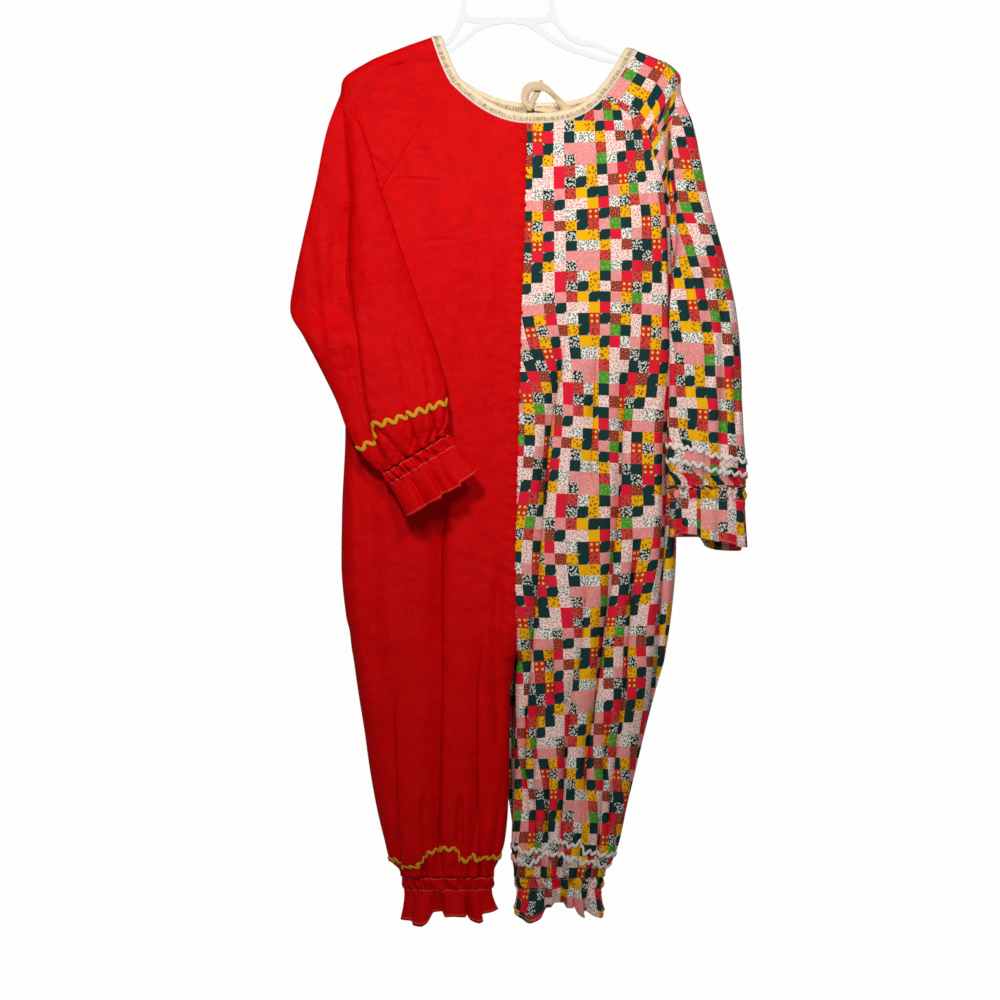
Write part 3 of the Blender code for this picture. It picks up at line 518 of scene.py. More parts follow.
RAGLAN = {
    "red": ((-77, 237), (-98, 264), (-116, 296), (-133, 324), (-145, 345), (-159, 368), (-181, 407),
            (-204, 448)),
    "patch": ((124, 257), (145, 272), (163, 286), (176, 298), (182, 311), (188, 332), (199, 362),
              (209.5, 398)),
}
CENTRE_DROPS = {
    "front": (291, 310, 332, 354, 374, 396, 424, 456),
    "back": (276, 300, 326, 350, 371, 394, 423, 456),
}
NECK_BEND = {"red": 2.0, "patch": 3.4}
UNDERARM_ROW = 7
EVEN_DROP = 520.0       # below this drop the rows of the cloth are level


# %% Shares, from 0 to 1
def blend(start, end, share):
    return start + (end - start) * share


def ramp(at, start, end):
    """0 at start, 1 at end, straight between and level outside."""
    return np.clip((at - start) / (end - start), 0.0, 1.0)


def between(at, four):
    """Comes up from 0 to 1 between the first two places, and goes back between the last two."""
    return np.interp(at, four, (0, 1, 1, 0))


def eased(share):
    """The same share, with a soft start and a soft end."""
    return share * share * (3 - 2 * share)


def rounded(share):
    """A quarter round: 0 at the edge, 1 from one radius in."""
    share = np.clip(share, 0.0, 1.0)
    return np.sqrt(1.0 - (1.0 - share) ** 2)


def hump(away, width):
    """1 in the middle, fading out over a width to either side."""
    return np.exp(-(away / width) ** 2)


# %% Smooth reading of a table
def smooth(at, stations, values):
    """Values at any place between a table's stations, on a curve that doesn't overshoot."""
    at = np.clip(np.asarray(at, float), stations[0], stations[-1])
    stations = np.asarray(stations, float)
    values = np.asarray(values, float)
    gaps = np.diff(stations)
    slopes = np.diff(values) / gaps
    inner = np.where(slopes[:-1] * slopes[1:] > 0,
                     2 * slopes[:-1] * slopes[1:] / (slopes[:-1] + slopes[1:] + 1e-12), 0.0)
    tangents = np.concatenate((slopes[:1], inner, slopes[-1:]))
    first = np.clip(np.searchsorted(stations, at, "right") - 1, 0, len(gaps) - 1)
    gap = gaps[first]
    share = (at - stations[first]) / gap
    rest = 1 - share
    level = values[first] * rest ** 2 * (1 + 2 * share) + values[first + 1] * share ** 2 * (1 + 2 * rest)
    lean = tangents[first] * rest - tangents[first + 1] * share
    return level + lean * gap * share * rest


def size(name, drop):
    return smooth(drop, SIZES[:, 0], SIZES[:, 1 + SIZE_NAMES.index(name)])


# %% How deep the suit is at any place
def line_distance(x, drop, points):
    """Distance of points from a bent line, how far along it each lies (0 to 1), and on which side."""
    points = np.asarray(points, float)
    starts = points[:-1]
    runs = np.diff(points, axis=0)
    lengths = np.hypot(*runs.T)
    before = np.concatenate(([0.0], np.cumsum(lengths)))
    best = np.full(np.shape(x), np.inf)
    where = np.zeros(np.shape(x))
    side = np.zeros(np.shape(x))
    for start, run, length, passed in zip(starts, runs, lengths, before):
        share = np.clip(((x - start[0]) * run[0] + (drop - start[1]) * run[1]) / length ** 2, 0, 1)
        away_x = x - start[0] - share * run[0]
        away_drop = drop - start[1] - share * run[1]
        away = np.hypot(away_x, away_drop)
        nearer = away < best
        best = np.where(nearer, away, best)
        where = np.where(nearer, (passed + share * length) / before[-1], where)
        side = np.where(nearer, np.sign(run[0] * away_drop - run[1] * away_x), side)
    return best, where, side


HALVES = {"red": -1, "patch": 1}        # each half of the suit, and the sign of x on it
SIDES = {half: SHOULDER[half] + UNDERARM_OUTLINE[half] for half in HALVES}


def from_side(x, drop, half):
    """Distance from the flat suit's outer edge: shoulder, armhole fold, side seam."""
    above = line_distance(x, drop, SIDES[half])[0]
    beside = np.abs(size(half + "_side", drop) - x)
    return np.where(drop > SIDES[half][-1][1], np.minimum(above, beside), above)


def crotch_share(drop):
    """0 above the crotch, 1 below it, where each leg closes on its inside."""
    return 1.0 - np.sqrt(1.0 - ramp(drop, CROTCH_TOP, CROTCH) ** 2)


def half_depth(x, drop, half):
    """How far the cloth stands from the middle of the suit, front or back."""
    x = np.asarray(x, float)
    drop = np.asarray(drop, float)
    round_in = size("rounding", drop)
    depth = size("depth", drop)
    for one in HALVES:
        depth = depth * rounded(from_side(x, drop, one) / round_in)
    inner = size(half + "_inner", drop)
    inner_round = rounded(np.abs(x - inner) / round_in)
    return depth * blend(1.0, inner_round, crotch_share(drop))


# %% [markdown]
# ## Turning a grid of points into cloth
# Each cut piece is a grid of points, rows down the piece and columns across it. A solidify modifier
# gives it the thickness of real cotton. Its UV map holds each point's place on the flat cloth in
# metres, so the weave and the print keep their size everywhere.

# %% Grid to cloth
CLOTH_THICK = 0.0006


def quads(grid, flip):
    """The four corners of each face of a grid, in order round the face."""
    corners = (grid[:-1, :-1], grid[:-1, 1:], grid[1:, 1:], grid[1:, :-1])
    return np.stack(corners[::-1] if flip else corners, axis=2)


def ride(name, mesh, material):
    """A smooth piece made of a mesh, riding on the suit's one body."""
    mesh.shade_smooth()
    mesh.materials.append(material)
    piece = bpy.data.objects.new(name, mesh)
    bpy.context.scene.collection.objects.link(piece)
    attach(piece, "root")
    return piece


def lay(name, points, place, material, flip=False, closed_from=None, thick=CLOTH_THICK, outside=False):
    """A piece of cloth through a grid of points in millimetres (x, depth, drop).

    From the row closed_from on, the grid's last column is its first one again, so it closes to a tube.
    """
    count_rows, count_columns = points.shape[:2]
    number = np.zeros((count_rows, count_columns), int)
    kept = []
    total = 0
    for row in range(count_rows):
        closed = closed_from is not None and row >= closed_from
        own = count_columns - 1 if closed else count_columns
        number[row, :own] = np.arange(total, total + own)
        if closed:
            number[row, -1] = total
        kept.append(points[row, :own])
        total += own
    vertices = np.concatenate(kept) * (MM, MM, -MM)
    corners = quads(number, flip)
    mesh = bpy.data.meshes.new(name)
    mesh.from_pydata(vertices.tolist(), [], corners.reshape(-1, 4).tolist())
    layer = mesh.uv_layers.new(name="cloth")
    layer.data.foreach_set("uv", (quads(place, flip) * MM).astype(np.float32).ravel())
    piece = ride(name, mesh, material)
    wall = piece.modifiers.new("cloth", "SOLIDIFY")
    wall.thickness = thick
    wall.offset = 1.0 if outside else -1.0
    return piece


def unit(vectors):
    """The same directions, each one long."""
    return vectors / np.linalg.norm(vectors, axis=-1, keepdims=True)


def flat_places(across, down):
    """Places on the flat cloth, from how far across it and down it they lie."""
    return np.stack(np.broadcast_arrays(across, down), axis=-1)


def lengths_along(points, axis):
    """Length from the first row or column to each point, measured over the surface."""
    steps = np.linalg.norm(np.diff(points, axis=axis), axis=-1)
    start = np.zeros_like(np.take(steps, [0], axis=axis))
    return np.concatenate((start, np.cumsum(steps, axis=axis)), axis=axis)


# %% [markdown]
# ## Creases
# Cloth that hangs keeps long soft troughs where it is gathered below, and short sharp lines where
# it was folded to be put away. Each crease here is a line laid over the cloth, with a
# width and a depth. Either a low ridge runs on both sides of it, or one side is folded over it.
# Unevenness along the line keeps it from looking ruled. The back has its own lines, since no two
# sides of a garment crease alike.

# %% Crease lines: width, depth, how much wider on the left, and the line (millimetres)
# A crease that is wider on its left is a fold: its right side slides over the trough.
CREASES = {
    ("patch", "front"): (
        (4.5, 15.8, 2.5, ((73, 520), (70, 615), (63, 663), (56, 708), (52, 759), (44, 861), (36, 962),
                          (27, 1066), (25, 1170), (27, 1251))),
        (4.8, 17, 2.5, ((156, 559), (155, 607), (152, 692), (150, 764), (142, 832), (138, 889), (129, 939),
                        (124, 994), (116, 1050), (109, 1093), (101, 1164), (95, 1251))),
        (3.2, 15.8, 2.5, ((208, 588), (207, 715), (205, 832), (200, 904), (198, 952), (190, 1027),
                          (170, 1118))),
        (2.2, 7.8, 2.5, ((56, 966), (61, 1027), (64, 1050))),
        (3.2, 13, 2.5, ((84, 994), (81, 1066), (75, 1135), (69, 1254))),
        (2.9, 10.6, 2.5, ((42, 1023), (38, 1092), (35, 1164), (42, 1258))),
        (3.8, 11.9, 2.5, ((170, 806), (162, 910), (155, 1014), (142, 1118), (126, 1248))),
        (3.2, 7.8, 2.5, ((105, 858), (98, 962), (90, 1040))),
        (4.5, 7.8, 2.5, ((118, 559), (114, 676), (108, 780))),
        (6, 2.5, 1, ((181, 364), (177, 468), (172, 572))),
        (8, 2, 1, ((86, 325), (82, 416), (79, 520))),
        (7, 2, 1, ((125, 286), (118, 364), (113, 468))),
        (2.6, 10.6, 2.5, ((134, 1040), (124, 1157), (116, 1261))),
        (2.6, 10.6, 2.5, ((53, 1118), (52, 1196), (57, 1261))),
        (3, 14, 1, ((205, 360), (207, 400), (207.5, 440), (209, 485), (211, 560))),
    ),
    ("red", "front"): (
        (5, 15, 4, ((-80, 740), (-81, 900), (-81, 1027), (-83, 1118), (-84, 1196), (-86, 1310))),
        (5, 10, 3, ((-34, 940), (-36, 1070), (-35, 1170), (-32, 1310))),
        (6, 6, 3, ((-144, 1000), (-139, 1144), (-129, 1310))),
        (14, 6, 1, ((-182, 600), (-184, 720), (-180, 860), (-174, 962), (-162, 1066))),
        (7, 5, 1, ((-12, 860), (-16, 940), (-17, 1030), (-12, 1120))),
        (2.5, 1.3, 1, ((-156, 365), (-120, 364), (-83, 367))),
        (2.5, 1.1, 1, ((-126, 326), (-101, 326))),
        (2.6, 2, 1, ((-112, 446), (-90, 443), (-64, 445))),
        (3, 0.8, 1, ((-79, 230), (-70, 248), (-61, 269))),
        (5, 0.9, 1, ((-74, 852), (-38, 861), (6, 879))),
        (4, 6, 1, ((-109, 1150), (-110, 1222), (-108, 1290))),
        (4, 6, 1, ((-62, 1150), (-64, 1222), (-65, 1290))),
        (9, 1.6, 1, ((-12, 455), (-14, 572), (-17, 689))),
        (12, 1.6, 1, ((-51, 390), (-53, 520), (-61, 650))),
    ),
    ("red", "back"): (
        (8, 4.5, 1, ((-96, 560), (-102, 700), (-99, 860), (-92, 1040), (-84, 1258))),
        (7, 4, 1, ((-158, 700), (-160, 860), (-150, 1040), (-128, 1258))),
        (6, 4, 1, ((-40, 780), (-46, 900), (-48, 1080), (-50, 1260))),
        (9, 2.5, 1, ((-62, 420), (-66, 560), (-60, 720))),
        (2.6, 1, 1, ((-150, 402), (-110, 399), (-60, 404))),
        (2.6, 0.8, 1, ((-120, 560), (-70, 556), (-30, 560))),
        (4, 3, 1, ((-112, 1150), (-108, 1200), (-106, 1260))),
    ),
    ("patch", "back"): (
        (8, 6, 1, ((64, 540), (60, 700), (52, 860), (44, 1040), (38, 1256))),
        (8, 6.5, 1, ((142, 520), (146, 700), (138, 860), (118, 1040), (98, 1256))),
        (6, 4.5, 1, ((186, 620), (184, 800), (172, 960), (150, 1120), (118, 1256))),
        (6, 3.5, 1, ((102, 640), (98, 800), (90, 980), (72, 1256))),
        (8, 2, 1, ((96, 330), (94, 430), (92, 540))),
        (4, 3.5, 1, ((60, 1080), (56, 1180), (55, 1260))),
    ),
    ("red", "sleeve"): (
        (4, 11, 6, ((-207, 380), (-204, 442), (-202, 494), (-191, 572), (-182, 650), (-170, 698), (-160, 722),
                    (-150, 760))),
        (2.4, 6.5, 3, ((-134, 655), (-129, 670), (-122, 688), (-113, 712), (-106, 730))),
        (2.4, 6.5, 3, ((-106, 650), (-101, 662), (-93, 682), (-91, 705), (-88, 722))),
        (2.4, 6, 3, ((-166, 680), (-160, 693), (-145, 709), (-127, 730), (-118, 742))),
        (7, 2.6, 1, ((-259, 422), (-251, 507), (-243, 572), (-237, 618))),
        (6, 1.6, 1, ((-225, 410), (-229, 468), (-224, 533))),
        (5, 2.4, 1, ((-148, 559), (-136, 611), (-131, 663))),
        (3.5, 2.2, 1, ((-109, 598), (-103, 630), (-100, 656))),
        (5, 2.2, 1, ((-213, 559), (-203, 618), (-191, 689))),
        (5, 1.8, 1, ((-265, 520), (-248, 543), (-213, 559))),
        (4, 1.2, 1, ((-238, 618), (-213, 614), (-191, 606))),
        (2.5, 1.1, 1, ((-179, 326), (-136, 326))),
        (3, 2, 1, ((-155, 217), (-135, 216), (-116, 218))),
    ),
    ("patch", "sleeve"): (
        (6, 3.5, 1, ((235, 390), (235, 520), (233, 650), (230, 754))),
        (6, 4, 1, ((277, 494), (277, 598), (276, 689), (274, 780))),
        (3.5, 5, 1, ((255, 689), (254, 741), (252, 806))),
        (6, 2, 1, ((256, 455), (257, 559), (259, 650))),
        (4, 2, 1, ((218, 559), (218, 650), (217, 741))),
        (4, 2.5, 1, ((294, 598), (292, 689), (295, 780))),
        (7, 1.6, 1, ((183, 273), (207, 306), (222, 338))),
    ),
}
RIDGE = 0.35            # height of the ridges beside a crease, as a share of its depth
RIDGE_AWAY = 1.7        # distance of the ridge from the trough, in crease widths
OVERLAP = 1.9           # how far a fold slides over, in crease widths
OVERLAP_WIDE = 1.2      # over what width it does, in crease widths
FADE = 0.2              # share of a crease's length over which it begins and ends


def creases(x, drop, lines):
    """How far the creases push the cloth in, and how far their right side slides over the trough."""
    total = np.zeros(np.shape(x))
    slide = np.zeros(np.shape(x))
    for number, (width, depth, skew, line) in enumerate(lines):
        away, along, side = line_distance(x, drop, line)
        fade = eased(ramp(along, 0, FADE) * ramp(along, 1, 1 - FADE))
        uneven = 1 + 0.22 * np.sin(along * 9 + number * 2.1) + 0.12 * np.sin(along * 23 + number)
        own_width = np.where(side > 0, width * skew, width)
        shape = hump(away, own_width)
        if skew == 1:
            shape -= RIDGE * hump(away - RIDGE_AWAY * own_width, own_width)
        else:
            slide -= OVERLAP * width * fade * hump(-side * away / width - 1, OVERLAP_WIDE)
        total += depth * fade * uneven * shape
    return total, slide


# Waves whose lengths don't divide each other never line up, so no two gathers come out alike.
def ripples(place, pitch, seed):
    """Uneven gathers along an edge, about one to a pitch."""
    turn = 2 * math.pi * place / pitch
    waves = np.sin(turn + seed) + 0.6 * np.sin(turn * 0.62 + seed * 3.1)
    return (waves + 0.4 * np.sin(turn * 1.71 + seed * 1.7)) / 1.6


def gathers(place, pitch, seed):
    """Gathered folds: round outside, sharp inside, uneven in width and height."""
    phase = math.pi * place / pitch + 0.8 * np.sin(place / (0.9 * pitch) + seed) + seed
    height = 0.75 + 0.25 * np.sin(place / (1.3 * pitch) + 2 * seed)
    return height * (2 * np.abs(np.sin(phase)) - 1)


# %% [markdown]
# ## Front and back panels
# Each panel runs from the neck to the ankle and from the centre seam to the raglan and side seams.
# Above the underarm its rows sweep down from the shoulder to the middle. Below it they are level,
# and below the crotch the panel curls round to the inside leg.

# %% Panel outlines
PANEL_COLUMNS = {"red": 90, "patch": 114}
CHEST_ROWS = 70
BODY_ROWS = 240
CENTRE_LAP = {"red": 1.6, "patch": 0.4}         # the red edge runs on under the patchwork one
RAGLAN_LAP = 0.3
SIDE_GAP = 0.05
CURL_TOP, CURL_END = 720.0, 1000.0      # over these drops the columns crowd toward the inside leg
CURL_MOST = 0.85
CROWDING = 0.7          # how much the columns crowd at the side, where the cloth turns


def panel_outline(half, face):
    """For each row of a panel: the drop of its centre, x and drop of its side, and how it bends."""
    side = HALVES[half]
    steps = np.arange(UNDERARM_ROW + 1)
    down = np.linspace(0, UNDERARM_ROW, CHEST_ROWS, endpoint=False)
    seam = np.array(RAGLAN[half], float)
    bend = NECK_BEND[half]
    power = np.interp(down, (0, UNDERARM_ROW - 1, UNDERARM_ROW), (bend, bend, 2.0))
    below = np.linspace(CENTRE_DROPS[face][-1], ANKLE, BODY_ROWS)
    sinking = np.interp(below, (below[0], EVEN_DROP), (seam[-1, 1], EVEN_DROP))
    side_drop = np.where(below < EVEN_DROP, sinking, below)
    side_x = np.where(side_drop <= seam[-1, 1], seam[-1, 0], size(half + "_side", side_drop))
    raglan_x = smooth(down, steps, seam[:, 0]) + side * RAGLAN_LAP
    return (np.concatenate((smooth(down, steps, CENTRE_DROPS[face]), below))[:, None],
            np.concatenate((raglan_x, side_x - side * SIDE_GAP))[:, None],
            np.concatenate((smooth(down, steps, seam[:, 1]), side_drop))[:, None],
            np.concatenate((power, np.full(BODY_ROWS, 2.0)))[:, None])


def column_shares(half, centre):
    """Where the columns of each row lie, from 0 at the centre to 1 at the side."""
    even = np.linspace(0, 1, PANEL_COLUMNS[half])[None, :]
    at_side = blend(even, np.sin(even * math.pi / 2), CROWDING)
    curl = CURL_MOST * eased(ramp(centre, CURL_TOP, CURL_END))
    return blend(at_side, (1 - np.cos(even * math.pi)) / 2, curl)


# %% Panel relief
ANKLE_GATHER_TOP = 1120.0
ANKLE_GATHER = {"red": 4.8, "patch": 5.6}
ANKLE_PITCH = {"red": 17.0, "patch": 12.0}
GATHER_LEAN = 0.12
SEAM_PUCKER = {"red": 1.5, "patch": 0.3}
SEAM_PUCKER_WIDE, SEAM_PUCKER_PITCH = 12.0, 14.0
SEAM_DIP = {"red": 1.6, "patch": 0.7}
SEAM_DIP_WIDE = 2.4
SIDE_PUCKER = {"red": 1.0, "patch": 0.0}
SIDE_PUCKER_AWAY, SIDE_PUCKER_WIDE, SIDE_PUCKER_PITCH = 14.0, 6.0, 12.0
SIDE_PUCKER_DROPS = (740.0, 820.0, 1100.0, 1160.0)
SLIDE_CLEAR = 14.0      # folds don't slide within this distance of a seam
DEEP_ENOUGH = 8.0       # relief fades out where the suit is thinner than this
LEG_LAP = 8.0           # the print leg's back reaches across the gap between the legs
LEG_LAP_WIDE = 12.0
LEG_LAP_DEPTH = 9.0
LEG_LAP_DROPS = (CROTCH - 40, CROTCH - 20, 1160.0, 1200.0)


def panel_grid(half, face):
    """A panel's grid of points: its outline filled with rows and columns, then its relief."""
    side = HALVES[half]
    facing = -1 if face == "front" else 1
    centre, side_x, side_drop, power = panel_outline(half, face)
    leg = crotch_share(centre)
    shares = column_shares(half, centre)
    inner = size(half + "_inner", centre) - side * CENTRE_LAP[half] * (1 - leg) + side * SEAM * leg
    x = blend(inner, side_x, shares)
    drop = blend(centre, side_drop, shares ** power)
    from_inner = np.abs(x - inner)
    beside = np.abs(size(half + "_side", drop) - x)

    depth = half_depth(x, drop, half)
    clear = ramp(depth, 0, DEEP_ENOUGH)
    pushed, slide = creases(x, drop, CREASES[half, face])
    depth -= pushed * clear
    gather = ramp(drop, ANKLE_GATHER_TOP, ANKLE) ** 1.5
    folds = gathers(x + GATHER_LEAN * drop, ANKLE_PITCH[half], side + facing)
    depth += ANKLE_GATHER[half] * gather * folds * clear
    pucker = ripples(drop + 0.45 * from_inner, SEAM_PUCKER_PITCH, side)
    depth += SEAM_PUCKER[half] * hump(from_inner, SEAM_PUCKER_WIDE) * (1 - leg) * pucker * clear
    depth -= SEAM_DIP[half] * hump(from_inner, SEAM_DIP_WIDE) * (1 - leg)
    near_side = hump(beside - SIDE_PUCKER_AWAY, SIDE_PUCKER_WIDE) * between(drop, SIDE_PUCKER_DROPS)
    pucker = ripples(drop + 0.6 * beside, SIDE_PUCKER_PITCH, side)
    depth += SIDE_PUCKER[half] * near_side * pucker * clear
    if (half, face) == ("patch", "back"):
        near = between(drop, LEG_LAP_DROPS) * hump(from_inner, LEG_LAP_WIDE)
        x = x - LEG_LAP * near
        depth = np.maximum(depth, LEG_LAP_DEPTH * near)
    x = x + slide * ramp(beside, 0, SLIDE_CLEAR) * ramp(from_inner, 0, SLIDE_CLEAR)
    depth = np.maximum(depth, SEAM)
    depth[CHEST_ROWS:, -1] = SEAM
    if (half, face) != ("patch", "back"):
        depth[:, 0] = blend(depth[:, 0], SEAM, leg[:, 0])
    return np.stack((x, facing * depth, drop), axis=-1)


# %% The print's place on a panel
STEADY_ROWS = 26        # the print's place is evened out over this many rows
PRINT_START = 400.0     # keeps all places on the cloth above 0


def steadied(grid):
    """Each column of a grid evened out down its rows."""
    weights = np.hanning(2 * STEADY_ROWS + 1)
    weights /= weights.sum()
    longer = np.pad(grid, ((STEADY_ROWS, STEADY_ROWS), (0, 0)), mode="edge")
    return np.stack([np.convolve(column, weights, "valid") for column in longer.T], axis=1)


def panel_place(points, half, face):
    """Each point's place on the flat cloth. Folds take up cloth, and the grain sways a little."""
    side = HALVES[half]
    x = points[..., 0]
    drop = points[..., 2]
    spare = lengths_along(points, 1) - side * x
    spare -= spare[:, [PANEL_COLUMNS[half] // 2]]
    sway = 4.0 * np.sin(drop / 90 + x / 60) + 2.0 * np.sin(drop / 37 - x / 80 + side)
    lean = 2.5 * np.sin(drop / 70 + x / 45 + side)
    mirrored = side if face == "front" else -side
    across = (side * x + steadied(spare) + lean) * mirrored
    return flat_places(across + PRINT_START, drop + sway)


# %% Lay the four panels
MAKE = {"red": red_cotton, "patch": patchwork_cotton}
SLOT = {"red": "red_cotton", "patch": "patchwork_cotton"}
PANEL_CREASES = {"red": 1.0, "patch": 0.8}
panels = {}
for half in HALVES:
    material = MAKE[half](SLOT[half] + "_panel", PANEL_CREASES[half])
    for face in ("front", "back"):
        points = panel_grid(half, face)
        panels[half, face] = points
        flip = (half == "patch") != (face == "back")
        name = face + "_" + half + "_cloth"
        piece = lay(name, points, panel_place(points, half, face), material, flip)
        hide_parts(face + "_" + half)
        print(name, "widest", round(float(np.ptp(points[..., 0])), 1), "mm")

# %% [markdown]
# ## Raglan sleeves
# A raglan sleeve runs to the neck, so it also makes the shoulder. The red one hangs folded over the
# body and the print one beside it. Near the underarm the cloth leaves the seam, turns back on itself
# in a valley, and comes forward again as the front of the sleeve. A coarse cage of rows is worked
# out first, since the turns are easiest to place with few points, and then a smooth curve through
# the cage gives the dense cloth.

# %% Sleeve tables, millimetres
SLEEVE_NAMES = ("edge_x", "edge_drop", "outer_x", "outer_drop", "hollow", "oval")
SLEEVE_ROWS = {
    "red": (
        (-197, 288, -233, 290, 4, 0.0),
        (-167, 375, -252, 375, 10, 0.0),
        (-144, 442, -269, 448, 15, 0.0),
        (-128, 490, -279, 496, 19, 0.0),
        (-114, 530, -284, 535, 22, 0.0),
        (-101, 565, -265, 570, 23, 0.0),
        (-89, 603, -246, 606, 24, 0.2),
        (-82, 630, -222, 655, 24, 0.4),
        (-81, 643, -207, 694, 22, 0.7),
        (-79, 664, -186, 726, 19, 1.0),
        (-77, 681, -172, 739, 17, 1.0),
        (-79.5, 690.6, -166, 742.6, 16, 1.0),
        (-77.4, 694, -163.9, 746, 16, 1.0),
    ),
    "patch": (
        (212, 286, 237, 287, 4, 0.0),
        (213, 342, 250, 345, 8, 0.0),
        (216, 398, 261, 398, 12, 0.0),
        (217, 430, 270, 430, 16, 0.0),
        (215, 470, 281, 470, 20, 0.0),
        (209, 525, 293, 525, 22, 0.0),
        (208, 585, 300, 590, 24, 0.2),
        (207, 650, 302, 655, 24, 0.4),
        (204, 698, 305, 710, 22, 0.7),
        (204, 722, 307, 736, 19, 1.0),
        (205, 742, 307, 752, 17, 1.0),
        (207, 760, 306, 760, 15, 1.0),
        (207, 764, 306, 764, 15, 1.0),
    ),
}
# Where the cloth starts and turns in the first rows: the seam, or below the underarm the middle of
# the tube's inner side, then the valley behind the folded edge, each with its depth.
TURN_NAMES = ("seam_x", "seam_drop", "seam_depth", "valley_x", "valley_drop", "valley_depth")
TURNS = {
    "red": (
        (None, None, None, -213, 290, 9),
        (None, None, None, -211, 370, 10),
        (-204.6, 448, 0, -209, 446, 10),
        (-210, 490, 8, -212, 489, 18),
        (-215, 535, 20, -200, 533, 28),
    ),
    "patch": (
        (None, None, None, 210, 290, 4),
        (None, None, None, 208, 345, 1),
        (209.8, 398, -3, 209.8, 397, 0),
        (209, 430, -5, 209.5, 430, 0),
        (210, 470, -4, 210.5, 470, 1),
    ),
}
LAP = 2.5               # clear space over the cloth that the sleeve lies on
FOLD_TURN = 5.0         # from the sleeve's back layer to its front one, at the fold
FLAT_BACK = {"red": 31.0, "patch": 5.0}         # least depth of the folded part's back
OVAL_BACK = {"red": 34.0, "patch": 15.0}        # depth of the rounded part's back
EDGE_LIFT = {"red": 0.0, "patch": 5.0}          # how far the folded edge is lifted
VALLEY_DEPTH = {"red": 4.0, "patch": 2.5}
SHOULDER_ROWS = 5
UNDERARM_PLACE = {"red": 0.48, "patch": 0.75}   # the underarm seam, from the outer fold to the inner
LAST_TURN_ROW = SHOULDER_ROWS + len(TURNS["red"]) - 1
SEAM_EASE = {"red": 1.5, "patch": 2.5}
NECK_BOW = 4.0
EDGE_ANGLE = math.radians(7.5)
# Columns in the seven stretches round a sleeve: down to the valley, through it, out to the fold,
# round it, over the front, round the outer fold, and along the back.
STRETCHES = {"red": (3, 1, 3, 1, 10, 1, 5), "patch": (2, 1, 2, 1, 10, 1, 7)}
FRONT_STRETCH = 4
# Where the stretches begin on a shoulder row: 0 at the front seam, 1 on top, 2 at the back seam.
AT_NECK = (0.0, 0.40, 0.46, 0.66, 0.70, 1.10, 1.16, 2.0)
AT_SHOULDER_POINT = (0.0, 0.70, 0.735, 0.82, 0.85, 0.992, 1.008, 2.0)
# How far the last shoulder row stands out along the stretches, and the row above by a share of that.
GROOVE_STRETCHES = (0, 0.4, 1, 2, 3, 4, 4.5, 5, 7)
GROOVE_DEPTHS = (0, 0, -4.5, -3.5, 1, 1.5, 1.5, 0, 0)
GROOVE_START = 0.35


# %% Columns round a sleeve
def spot(x, depth, drop):
    return np.array((float(x), float(depth), float(drop)))


def stretch_places(half, stops, ease=1.0):
    """Places of all the columns between the stops of the seven stretches, the last one eased."""
    places = [stops[0]]
    last = len(STRETCHES[half]) - 1
    for number, count in enumerate(STRETCHES[half]):
        start, end = stops[number], stops[number + 1]
        power = ease if number == last else 1.0
        places += [blend(start, end, (step / count) ** power) for step in range(1, count + 1)]
    return places


def front_columns(half):
    """The first and the last column of the sleeve's front."""
    first = sum(STRETCHES[half][:FRONT_STRETCH])
    return first, first + STRETCHES[half][FRONT_STRETCH]


# %% Sleeve rows over the shoulder
def groove(half, column, number):
    """How far a column of the last shoulder rows stands out, to begin the fold."""
    share = {SHOULDER_ROWS - 1: 1.0, SHOULDER_ROWS - 2: GROOVE_START}.get(number, 0.0)
    ends = np.cumsum((0,) + STRETCHES[half])
    stretch = np.interp(column, ends, range(len(ends)))
    return share * np.interp(stretch, GROOVE_STRETCHES, GROOVE_DEPTHS)


def shoulder_row(half, number):
    """A row over the shoulder, from the front raglan seam to the back one."""
    seam = np.array(RAGLAN[half][number], float)
    ridge = np.array((SHOULDER[half][1:] + UNDERARM_OUTLINE[half])[number], float)
    neck_bow = NECK_BOW if number == 0 else 0.0
    toward_point = number / (SHOULDER_ROWS - 1)
    stops = [blend(a, b, toward_point) for a, b in zip(AT_NECK, AT_SHOULDER_POINT)]
    row = []
    for column, place in enumerate(stretch_places(half, stops, blend(1.0, 1.6, toward_point))):
        share = place if place <= 1 else 2 - place
        facing = -1 if place <= 1 else 1
        x, drop = blend(seam, ridge, share)
        drop += neck_bow * math.sin(math.pi * share)
        row.append(spot(x, facing * (half_depth(x, drop, half) + groove(half, column, number)), drop))
    return row


# %% Sleeve rows below the shoulder point
def under_layer(x, drop, half):
    """Depth of the cloth that the sleeve lies on, with its clear space."""
    inside = HALVES[half] * (size(half + "_side", drop) - x)
    depth = half_depth(x, drop, half) if inside > 0 else 0.0
    return max(float(depth), VALLEY_DEPTH[half]) + LAP


def sleeve_angles(half):
    """Angle of each column round the tube: 0 at the folded edge, 90 at the front."""
    whole = 2 * math.pi
    seam = whole - math.acos(2 * UNDERARM_PLACE[half] - 1)
    valley = blend(seam, whole, 0.4)
    after = blend(seam, whole, 0.5)
    stops = (seam, valley, after, max(whole - EDGE_ANGLE, after), whole + EDGE_ANGLE,
             whole + math.pi - EDGE_ANGLE, whole + math.pi + EDGE_ANGLE, whole + seam)
    return stretch_places(half, stops)


